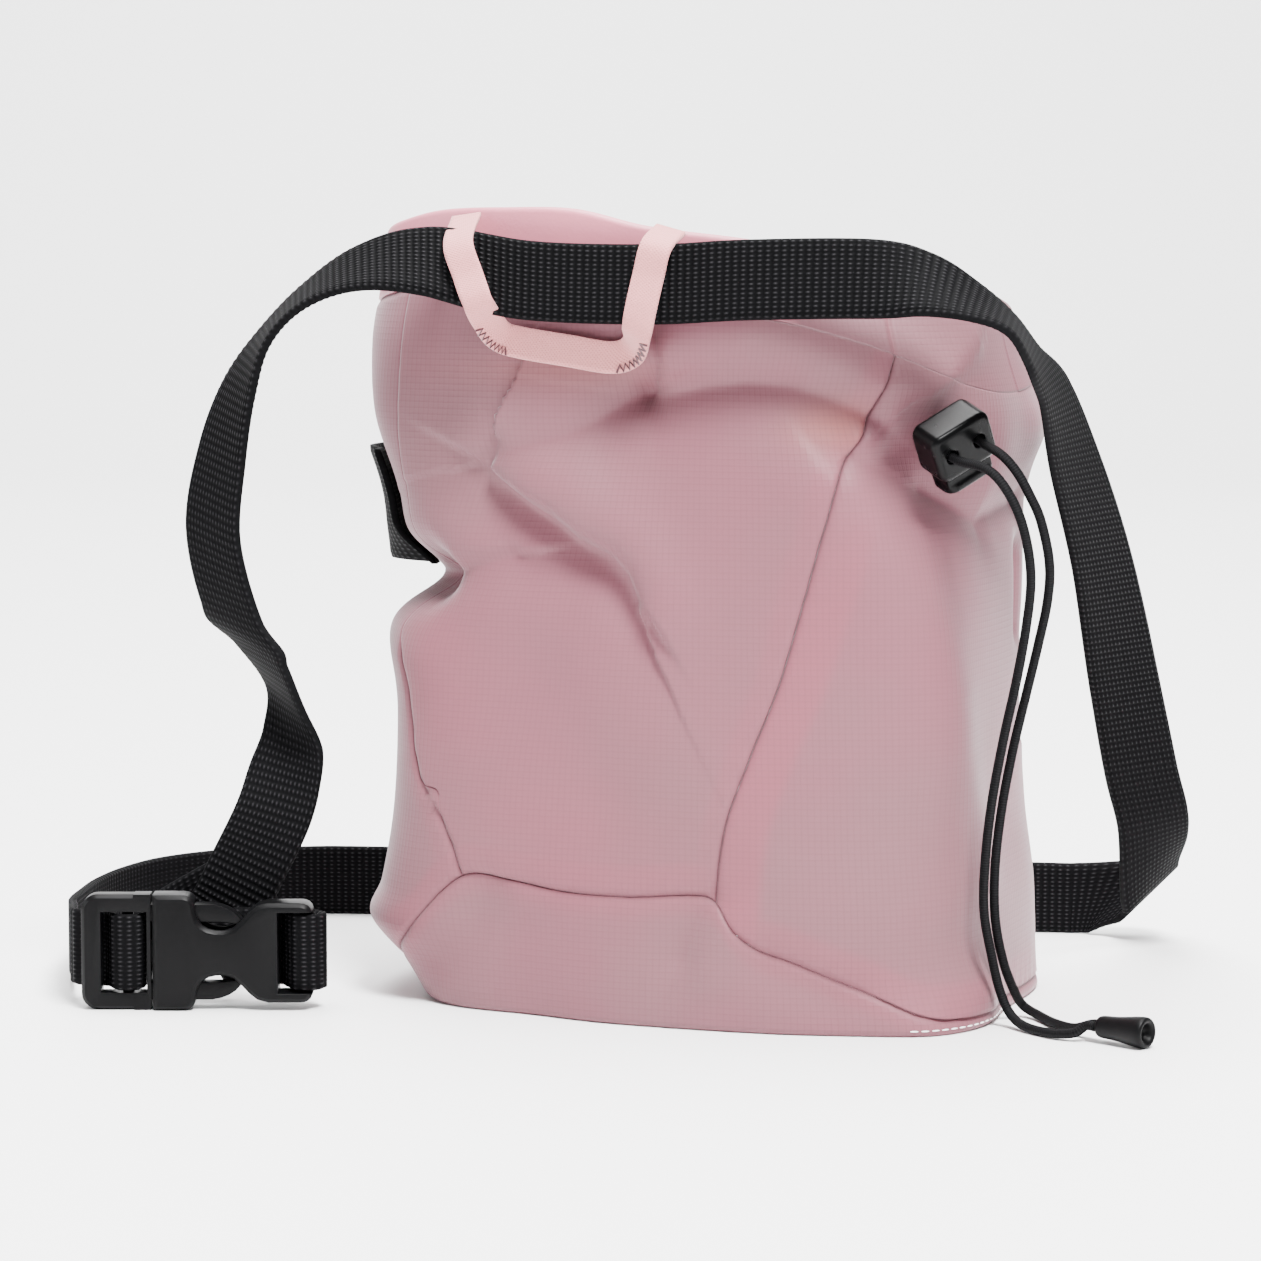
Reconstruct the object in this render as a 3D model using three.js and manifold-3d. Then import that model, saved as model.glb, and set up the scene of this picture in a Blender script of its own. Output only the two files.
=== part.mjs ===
// A climbing chalk bag that stands on its base, with its waist belt fastened round it.
// Millimetres, +Z up. The origin is the middle of the base, on the floor. The front, where the
// belt loop is, faces -Y. Angles run round the bag from +X towards +Y, so the front is at 270.
import * as THREE from 'three';
import { mergeVertices } from 'three/addons/utils/BufferGeometryUtils.js';
import Module from 'manifold-3d';

const wasm = await Module();
wasm.setup();

// Driving sizes
const gap = 0.3;
const bag = { width: 136, depth: 92, height: 170, cloth: 1.5 };
const rim = { height: 16, thick: 2.6, lip: 0.9 };
const base = { seamRise: 28.5, foot: 3, toe: 1.2, rings: [0.35, 0.7], insideRing: 0.6 };
const webbing = { width: 16.5, thick: 1.5 };
const tape = { width: 6.8, thick: 0.9 };
const brush = { width: 25, thick: 1.6, bulge: 5, tab: 0.1, stand: 1.2 };
const buckle = { turn: 20, thick: 8, wall: 3.7, play: 0.45, bar: 3 };
const buckleHalves = { maleLength: 14.8, femaleLength: 34, seam: 0.5, prong: 19 };
const lock = {
  wide: 14.5, tall: 11.5, deep: 9, wall: 1.1, roof: 1.6, round: 2.4, edge: 0.9, holeSpacing: 6.8,
};
const plunger = { travel: 1.6, lip: 2, lipShare: 0.84, lipRound: 2.6, lipEdge: 0.4, running: 0.25 };
const cord = { diameter: 2, play: 0.45, sides: 8 };
const bell = { length: 12, wide: 3.3, cordApart: 0.15 };

// Where the buckle and the cord lock are. x and y are shares of half the bag's width and half its
// depth. The lock hangs before one place of the wall, given by its angle and share of the bag's
// height, and stand is how far the lock's middle is from that place.
const buckleAt = { x: -1.3426, y: -1.4413 };
const lockSeat = { angle: 332.82, height: 0.7384, stand: 9.22 };

const colours = {
  cloth: 0xc996a5,
  rim: 0xd9a0b0,
  tape: 0xe8acb4,
  webbing: 0x17171a,
  plastic: 0x1c1d1f,
  cord: 0x1a1a1b,
};

function finish(colour, roughness) {
  return new THREE.MeshStandardMaterial({ color: colour, roughness, metalness: 0 });
}

const clothFinish = finish(colours.cloth, 0.75);
const rimFinish = finish(colours.rim, 0.5);
const tapeFinish = finish(colours.tape, 0.8);
const webbingFinish = finish(colours.webbing, 0.85);
const plasticFinish = finish(colours.plastic, 0.35);
const cordFinish = finish(colours.cord, 0.7);

const radians = THREE.MathUtils.degToRad;
const lerp = THREE.MathUtils.lerp;

// The body's cross sections, from the floor up. height is a share of the bag's height, right and
// left are shares of half its width, front and back are shares of half its depth, and square is
// the exponent of the rounded rectangle: 2 is an ellipse, and more is squarer.
const sections = [
  { height: 0.00, right: 1.03, left: 0.83, front: 1.20, back: 0.95, square: 3.5 },
  { height: 0.05, right: 1.02, left: 0.92, front: 1.20, back: 0.97, square: 3.5 },
  { height: 0.10, right: 1.01, left: 1.035, front: 1.19, back: 0.99, square: 3.6 },
  { height: 0.145, right: 1.00, left: 0.99, front: 1.18, back: 1.00, square: 3.7 },
  { height: 0.24, right: 0.97, left: 0.95, front: 1.15, back: 1.02, square: 3.7 },
  { height: 0.36, right: 0.975, left: 0.95, front: 1.12, back: 1.03, square: 3.6 },
  { height: 0.50, right: 0.975, left: 0.975, front: 1.09, back: 1.03, square: 3.4 },
  { height: 0.62, right: 0.995, left: 0.965, front: 1.07, back: 1.02, square: 3.2 },
  { height: 0.73, right: 1.03, left: 1.045, front: 1.05, back: 1.01, square: 3.0 },
  { height: 0.83, right: 0.965, left: 1.085, front: 1.02, back: 1.00, square: 2.8 },
  { height: 0.93, right: 0.915, left: 1.055, front: 0.99, back: 0.99, square: 2.6 },
  { height: 1.00, right: 0.91, left: 1.05, front: 0.97, back: 0.98, square: 2.5 },
];

// The rim's height round the mouth, as a share of the bag's height
const rimHeights = [
  { angle: 0, height: 0.865 },
  { angle: 45, height: 0.905 },
  { angle: 90, height: 0.945 },
  { angle: 150, height: 0.963 },
  { angle: 190, height: 0.970 },
  { angle: 204, height: 0.983 },
  { angle: 217, height: 0.997 },
  { angle: 232, height: 1.0 },
  { angle: 250, height: 0.998 },
  { angle: 270, height: 0.978 },
  { angle: 303, height: 0.957 },
  { angle: 320, height: 0.928 },
  { angle: 340, height: 0.878 },
];

// The seam between the base and the walls: its height as a share of its rise at the front
const baseSeam = [
  { angle: 0, height: 0.11 },
  { angle: 90, height: 0.11 },
  { angle: 180, height: 0.12 },
  { angle: 200, height: 0.17 },
  { angle: 212, height: 0.32 },
  { angle: 221, height: 0.54 },
  { angle: 228, height: 0.88 },
  { angle: 233, height: 1.03 },
  { angle: 240, height: 1.02 },
  { angle: 254, height: 0.955 },
  { angle: 270, height: 0.945 },
  { angle: 286, height: 0.98 },
  { angle: 290, height: 0.93 },
  { angle: 293, height: 0.75 },
  { angle: 298, height: 0.61 },
  { angle: 304, height: 0.53 },
  { angle: 312, height: 0.39 },
  { angle: 318, height: 0.275 },
  { angle: 323, height: 0.16 },
  { angle: 328, height: 0.11 },
];

// The two front seams: the angle at which each stands, by share of the bag's height
const rightSeam = [
  { height: 0.00, angle: 290 },
  { height: 0.16, angle: 290 },
  { height: 0.25, angle: 291.8 },
  { height: 0.33, angle: 296.5 },
  { height: 0.42, angle: 302.5 },
  { height: 0.52, angle: 307.2 },
  { height: 0.62, angle: 311 },
  { height: 0.68, angle: 314 },
  { height: 0.74, angle: 320 },
  { height: 0.80, angle: 323.5 },
  { height: 0.86, angle: 327.5 },
  { height: 1.00, angle: 330 },
];
const leftSeam = [
  { height: 0.00, angle: 232 },
  { height: 0.17, angle: 232 },
  { height: 0.23, angle: 228.7 },
  { height: 0.29, angle: 221.5 },
  { height: 0.34, angle: 218.6 },
  { height: 0.40, angle: 217 },
  { height: 0.50, angle: 213 },
  { height: 0.80, angle: 212 },
  { height: 1.00, angle: 212 },
];

// Folds and dents of the cloth. Each runs straight from one place to another, given by angle and
// share of the bag's height. reach is its half width and rise its height, both as shares of the
// bag's height, and a negative rise goes into the bag.
const folds = [
  { name: 'right front foot', from: [326, 0.00], to: [337, 0.03], reach: 0.05, rise: 0.026 },
  { name: 'left front foot', from: [243, 0.00], to: [240, 0.08], reach: 0.09, rise: -0.024 },
  { name: 'apex dimple', from: [231, 0.695], to: [236, 0.675], reach: 0.045, rise: -0.016 },
  { name: 'long valley', from: [236, 0.672], to: [270, 0.50], reach: 0.042, rise: -0.026 },
  { name: 'bank over the valley', from: [252, 0.70], to: [280, 0.59], reach: 0.055, rise: 0.014 },
  { name: 'rising ridge', from: [238, 0.72], to: [266, 0.75], reach: 0.045, rise: 0.012 },
  { name: 'upper wave', from: [278, 0.80], to: [297, 0.83], reach: 0.045, rise: 0.013 },
  { name: 'falling wave', from: [297, 0.83], to: [314, 0.77], reach: 0.045, rise: 0.013 },
  { name: 'hollow under the wave', from: [282, 0.735], to: [308, 0.73], reach: 0.05, rise: -0.012 },
  { name: 'left notch', from: [184, 0.532], to: [218, 0.54], reach: 0.04, rise: -0.062 },
  { name: 'left shoulder', from: [205, 0.74], to: [220, 0.63], reach: 0.06, rise: 0.008 },
  { name: 'seam pucker', from: [322, 0.78], to: [327, 0.73], reach: 0.045, rise: -0.016 },
  { name: 'cord lock hollow', from: [330, 0.72], to: [338, 0.69], reach: 0.055, rise: -0.028 },
  { name: 'under the cord lock', from: [316, 0.62], to: [330, 0.59], reach: 0.045, rise: 0.008 },
  { name: 'v fold, near', from: [337, 0.64], to: [357, 0.565], reach: 0.042, rise: -0.018 },
  { name: 'v fold, far', from: [357, 0.565], to: [370, 0.61], reach: 0.042, rise: -0.014 },
  { name: 'side slit', from: [374, 0.555], to: [374, 0.475], reach: 0.045, rise: -0.014 },
  { name: 'soft front dent', from: [238, 0.39], to: [250, 0.49], reach: 0.075, rise: -0.014 },
  { name: 'front belly', from: [268, 0.38], to: [285, 0.30], reach: 0.10, rise: 0.010 },
  { name: 'base crease', from: [273, 0.03], to: [286, 0.15], reach: 0.045, rise: -0.011 },
  { name: 'back hollow', from: [70, 0.55], to: [110, 0.48], reach: 0.09, rise: -0.02 },
  { name: 'back ridge', from: [60, 0.66], to: [120, 0.70], reach: 0.06, rise: 0.010 },
  { name: 'left hollow', from: [150, 0.36], to: [175, 0.30], reach: 0.07, rise: -0.014 },
  { name: 'right hollow', from: [30, 0.40], to: [50, 0.32], reach: 0.08, rise: -0.014 },
];

// Smooth value between the rows of a table; a table of angles may close on itself after 360
function readTable(table, key, at, column, closes = false) {
  const count = table.length;
  let i = count - 1;
  while (i > 0 && at < table[i][key]) i -= 1;
  const step = (k) => {
    if (!closes) return table[Math.min(Math.max(k, 0), count - 1)];
    return table[(k + count) % count];
  };
  const place = (k) => step(k)[key] + (closes ? 360 * Math.floor(k / count) : 0);
  if (!closes && i === count - 1) return table[i][column];
  const t = Math.min(Math.max((at - place(i)) / (place(i + 1) - place(i)), 0), 1);
  const here = step(i)[column];
  const there = step(i + 1)[column];
  const slope = (k) => {
    const run = place(k + 1) - place(k - 1);
    return run === 0 ? 0 : (step(k + 1)[column] - step(k - 1)[column]) / run;
  };
  const run = place(i + 1) - place(i);
  const t2 = t * t;
  const t3 = t2 * t;
  return (2 * t3 - 3 * t2 + 1) * here + (t3 - 2 * t2 + t) * slope(i) * run
    + (3 * t2 - 2 * t3) * there + (t3 - t2) * slope(i + 1) * run;
}

const turnOnce = (angle) => ((angle % 360) + 360) % 360;
const rimTop = (angle) => bag.height * readTable(rimHeights, 'angle', turnOnce(angle), 'height', true);
const wallTop = (angle) => rimTop(angle) - rim.height;
const seamHeight = (angle) => {
  const share = readTable(baseSeam, 'angle', turnOnce(angle), 'height', true);
  return Math.max(base.seamRise * share, base.foot);
};

// How far the folds move the cloth out or in at one place
function foldRise(angle, z) {
  const around = (bag.width + bag.depth) / 4;
  let sum = 0;
  for (const fold of folds) {
    const start = new THREE.Vector2(0, fold.from[1] * bag.height);
    const end = new THREE.Vector2(radians(fold.to[0] - fold.from[0]) * around, fold.to[1] * bag.height);
    const turn = turnOnce(angle - fold.from[0] + 180) - 180;
    const here = new THREE.Vector2(radians(turn) * around, z);
    const along = end.clone().sub(start);
    const share = THREE.MathUtils.clamp(here.clone().sub(start).dot(along) / along.lengthSq(), 0, 1);
    const away = here.distanceTo(start.addScaledVector(along, share)) / (fold.reach * bag.height);
    sum += fold.rise * bag.height * Math.exp(-away * away);
  }
  return sum;
}

// The wall's distance from the bag's middle line at one angle and height
function wallRadius(angle, z) {
  const level = THREE.MathUtils.clamp(z / bag.height, 0, 1);
  const read = (column) => readTable(sections, 'height', level, column);
  const c = Math.cos(radians(angle));
  const s = Math.sin(radians(angle));
  const halfX = bag.width / 2 * (c > 0 ? read('right') : read('left'));
  const halfY = bag.depth / 2 * (s > 0 ? read('back') : read('front'));
  const n = read('square');
  return (Math.abs(c / halfX) ** n + Math.abs(s / halfY) ** n) ** (-1 / n);
}

function wallPoint(angle, z, outwards = 0) {
  const r = wallRadius(angle, z) + foldRise(angle, z) + outwards;
  return new THREE.Vector3(r * Math.cos(radians(angle)), r * Math.sin(radians(angle)), z);
}

// Adds one named mesh to the bag
const chalkBag = new THREE.Group();
function addPiece(name, geometry, material) {
  const mesh = new THREE.Mesh(geometry, material);
  mesh.name = name;
  chalkBag.add(mesh);
  return mesh;
}

function geometryOf(points, triangles) {
  const geometry = new THREE.BufferGeometry();
  const numbers = points.flatMap((p) => p.toArray());
  geometry.setAttribute('position', new THREE.Float32BufferAttribute(numbers, 3));
  geometry.setIndex(triangles.flat());
  geometry.computeVertexNormals();
  return geometry;
}

// A closed sheet from two grids of points, point(column, row, inside)
function sheet(columns, rows, point) {
  const points = [];
  const triangles = [];
  const outer = (i, j) => j * (columns + 1) + i;
  const inner = (i, j) => (columns + 1) * (rows + 1) + outer(i, j);
  for (const inside of [false, true]) {
    for (let j = 0; j <= rows; j += 1) {
      for (let i = 0; i <= columns; i += 1) points.push(point(i, j, inside));
    }
  }
  const quad = (a, b, c, d) => triangles.push([a, b, c], [a, c, d]);
  for (let j = 0; j < rows; j += 1) {
    for (let i = 0; i < columns; i += 1) {
      quad(outer(i, j), outer(i + 1, j), outer(i + 1, j + 1), outer(i, j + 1));
      quad(inner(i, j), inner(i, j + 1), inner(i + 1, j + 1), inner(i + 1, j));
    }
  }
  for (let i = 0; i < columns; i += 1) {
    quad(inner(i, 0), inner(i + 1, 0), outer(i + 1, 0), outer(i, 0));
    quad(outer(i, rows), outer(i + 1, rows), inner(i + 1, rows), inner(i, rows));
  }
  for (let j = 0; j < rows; j += 1) {
    quad(inner(0, j), outer(0, j), outer(0, j + 1), inner(0, j + 1));
    quad(outer(columns, j), inner(columns, j), inner(columns, j + 1), outer(columns, j + 1));
  }
  return geometryOf(points, triangles);
}

// The cloth walls. Each runs between two seams, from the base seam to the rim.
const wallRows = 20;
const backSeam = 450;
const seamAngle = (table) => (z) => readTable(table, 'height', z / bag.height, 'angle');
const walls = [
  { name: 'front_panel', from: seamAngle(leftSeam), to: seamAngle(rightSeam), columns: 19 },
  { name: 'right_panel', from: seamAngle(rightSeam), to: () => backSeam, columns: 22 },
  { name: 'left_panel', from: () => backSeam - 360, to: seamAngle(leftSeam), columns: 16 },
];

// Angle and height of one grid point of a wall, with its edges gap / 2 inside its seams
function wallPlace(wall, column, row) {
  let z = lerp(base.seamRise, bag.height - rim.height, row / wallRows);
  let angle = 0;
  for (let pass = 0; pass < 6; pass += 1) {
    const edge = THREE.MathUtils.radToDeg(gap / 2 / wallRadius(wall.from(z), z));
    angle = lerp(wall.from(z) + edge, wall.to(z) - edge, column / wall.columns);
    z = lerp(seamHeight(angle), wallTop(angle), row / wallRows);
  }
  if (row === 0) z += gap / 2;
  if (row === wallRows) z -= gap / 2;
  return { angle, z };
}

for (const wall of walls) {
  const geometry = sheet(wall.columns, wallRows, (i, j, inside) => {
    const place = wallPlace(wall, i, j);
    return wallPoint(place.angle, place.z, inside ? -bag.cloth : 0);
  });
  addPiece(wall.name, geometry, clothFinish);
}

// A closed ring: the same outline of a section at each angle
function ring(angles, outline) {
  const points = [];
  const triangles = [];
  const sides = outline(0).length;
  angles.forEach((angle) => points.push(...outline(angle)));
  for (let i = 0; i < angles.length; i += 1) {
    const next = (i + 1) % angles.length;
    for (let k = 0; k < sides; k += 1) {
      const up = (k + 1) % sides;
      triangles.push([i * sides + k, next * sides + k, next * sides + up]);
      triangles.push([i * sides + k, next * sides + up, i * sides + up]);
    }
  }
  return geometryOf(points, triangles);
}

// The angles at which the walls' edges have their corners, in order round the bag
function edgeAngles(row) {
  const angles = walls.flatMap((wall) => {
    const list = [];
    for (let i = 0; i <= wall.columns; i += 1) list.push(turnOnce(wallPlace(wall, i, row).angle));
    return list;
  });
  return angles.sort((a, b) => a - b);
}

addPiece('rim_band', ring(edgeAngles(wallRows), (angle) => {
  const top = rimTop(angle);
  const foot = wallTop(angle) + gap / 2;
  const inner = -rim.thick;
  return [
    wallPoint(angle, foot),
    wallPoint(angle, top - rim.lip),
    wallPoint(angle, top, -rim.lip),
    wallPoint(angle, top, inner + rim.lip),
    wallPoint(angle, top - rim.lip, inner),
    wallPoint(angle, foot, inner),
  ];
}), rimFinish);

// The base: a floor with a low wall up to its seam
function basePanel(angles) {
  const points = [];
  const triangles = [];
  const levels = (angle) => {
    const top = seamHeight(angle) - gap / 2;
    const toe = Math.min(base.toe, top / 3);
    return [
      wallPoint(angle, 0, -toe),
      wallPoint(angle, toe),
      ...base.rings.map((share) => wallPoint(angle, lerp(toe, top, share))),
      wallPoint(angle, top),
      wallPoint(angle, top, -bag.cloth),
      wallPoint(angle, lerp(bag.cloth, top, base.insideRing), -bag.cloth),
      wallPoint(angle, bag.cloth, -bag.cloth),
    ];
  };
  const count = levels(0).length;
  angles.forEach((angle) => points.push(...levels(angle)));
  const under = points.push(new THREE.Vector3(0, 0, 0)) - 1;
  const over = points.push(new THREE.Vector3(0, 0, bag.cloth)) - 1;
  for (let i = 0; i < angles.length; i += 1) {
    const here = i * count;
    const next = ((i + 1) % angles.length) * count;
    for (let k = 0; k < count - 1; k += 1) {
      triangles.push([here + k, next + k, next + k + 1], [here + k, next + k + 1, here + k + 1]);
    }
    triangles.push([next, here, under], [here + count - 1, next + count - 1, over]);
  }
  return geometryOf(points, triangles);
}
addPiece('base_panel', basePanel(edgeAngles(0)), clothFinish);

// The brush loop: a flat band that stands off the left wall between its two sewn ends. lean is
// where it stands off furthest, as a power of the share along it, and bridge is how much of the
// wall's own dents it spans.
const brushBand = { from: 148, to: 198, low: 0.545, lean: 0.66, bridge: 0.85, columns: 12, rows: 3 };
addPiece('brush_loop', sheet(brushBand.columns, brushBand.rows, (i, j, inside) => {
  const along = i / brushBand.columns;
  const angle = lerp(brushBand.from, brushBand.to, along);
  const z = bag.height * brushBand.low + brush.width * j / brushBand.rows;
  const share = THREE.MathUtils.clamp((along - brush.tab) / (1 - 2 * brush.tab), 0, 1);
  const open = Math.sin(Math.PI * share ** brushBand.lean);
  const hollow = brushBand.bridge * Math.min(foldRise(angle, z), 0);
  const off = brush.stand + open * (brush.bulge - hollow) + (inside ? 0 : brush.thick);
  return wallPoint(angle, z, off);
}), webbingFinish);

// A flat strip along rows of middle points and directions across its width, from edge to edge
function strip(rows, width, thick, stepsPerRow) {
  const centres = new THREE.CatmullRomCurve3(rows.map((row) => row.middle), false, 'catmullrom', 0.5);
  const across = new THREE.CatmullRomCurve3(rows.map((row) => row.across), false, 'catmullrom', 0.5);
  const steps = (rows.length - 1) * stepsPerRow;
  const points = [];
  const triangles = [];
  for (let k = 0; k <= steps; k += 1) {
    const t = k / steps;
    const middle = centres.getPoint(t);
    const ahead = centres.getTangent(t);
    const side = across.getPoint(t);
    side.divideScalar(side.clone().addScaledVector(ahead, -side.dot(ahead)).length());
    const face = ahead.clone().cross(side).normalize();
    for (const [a, b] of [[1, 1], [-1, 1], [-1, -1], [1, -1]]) {
      const edge = middle.clone().addScaledVector(side, a * width / 2);
      points.push(edge.addScaledVector(face, b * thick / 2));
    }
  }
  for (let k = 0; k < steps; k += 1) {
    for (let m = 0; m < 4; m += 1) {
      const n = (m + 1) % 4;
      triangles.push([4 * k + m, 4 * k + n, 4 * k + 4 + n], [4 * k + m, 4 * k + 4 + n, 4 * k + 4 + m]);
    }
  }
  const last = 4 * steps;
  triangles.push([2, 1, 0], [3, 2, 0], [last, last + 1, last + 2], [last, last + 2, last + 3]);
  return geometryOf(points, triangles);
}

// The buckle's own directions: along it, up, and back away from its face
const buckleAlong = new THREE.Vector3(Math.cos(radians(buckle.turn)), Math.sin(radians(buckle.turn)), 0);
const buckleBack = new THREE.Vector3(-buckleAlong.y, buckleAlong.x, 0);
const up = new THREE.Vector3(0, 0, 1);
const buckleHeight = webbing.width + 2 * (buckle.wall + buckle.play);
const buckleMiddle = new THREE.Vector3(buckleAt.x * bag.width / 2, buckleAt.y * bag.depth / 2, 0);

function atBuckle(along, height, back) {
  return buckleMiddle.clone()
    .addScaledVector(up, height)
    .addScaledVector(buckleAlong, along)
    .addScaledVector(buckleBack, back);
}

// A direction across the belt: its turn about the vertical, in degrees from +X, and its tilt up
function acrossDirection(turn, tilt) {
  const level = Math.cos(radians(tilt));
  const round = radians(turn);
  return new THREE.Vector3(level * Math.cos(round), level * Math.sin(round), Math.sin(radians(tilt)));
}

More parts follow.
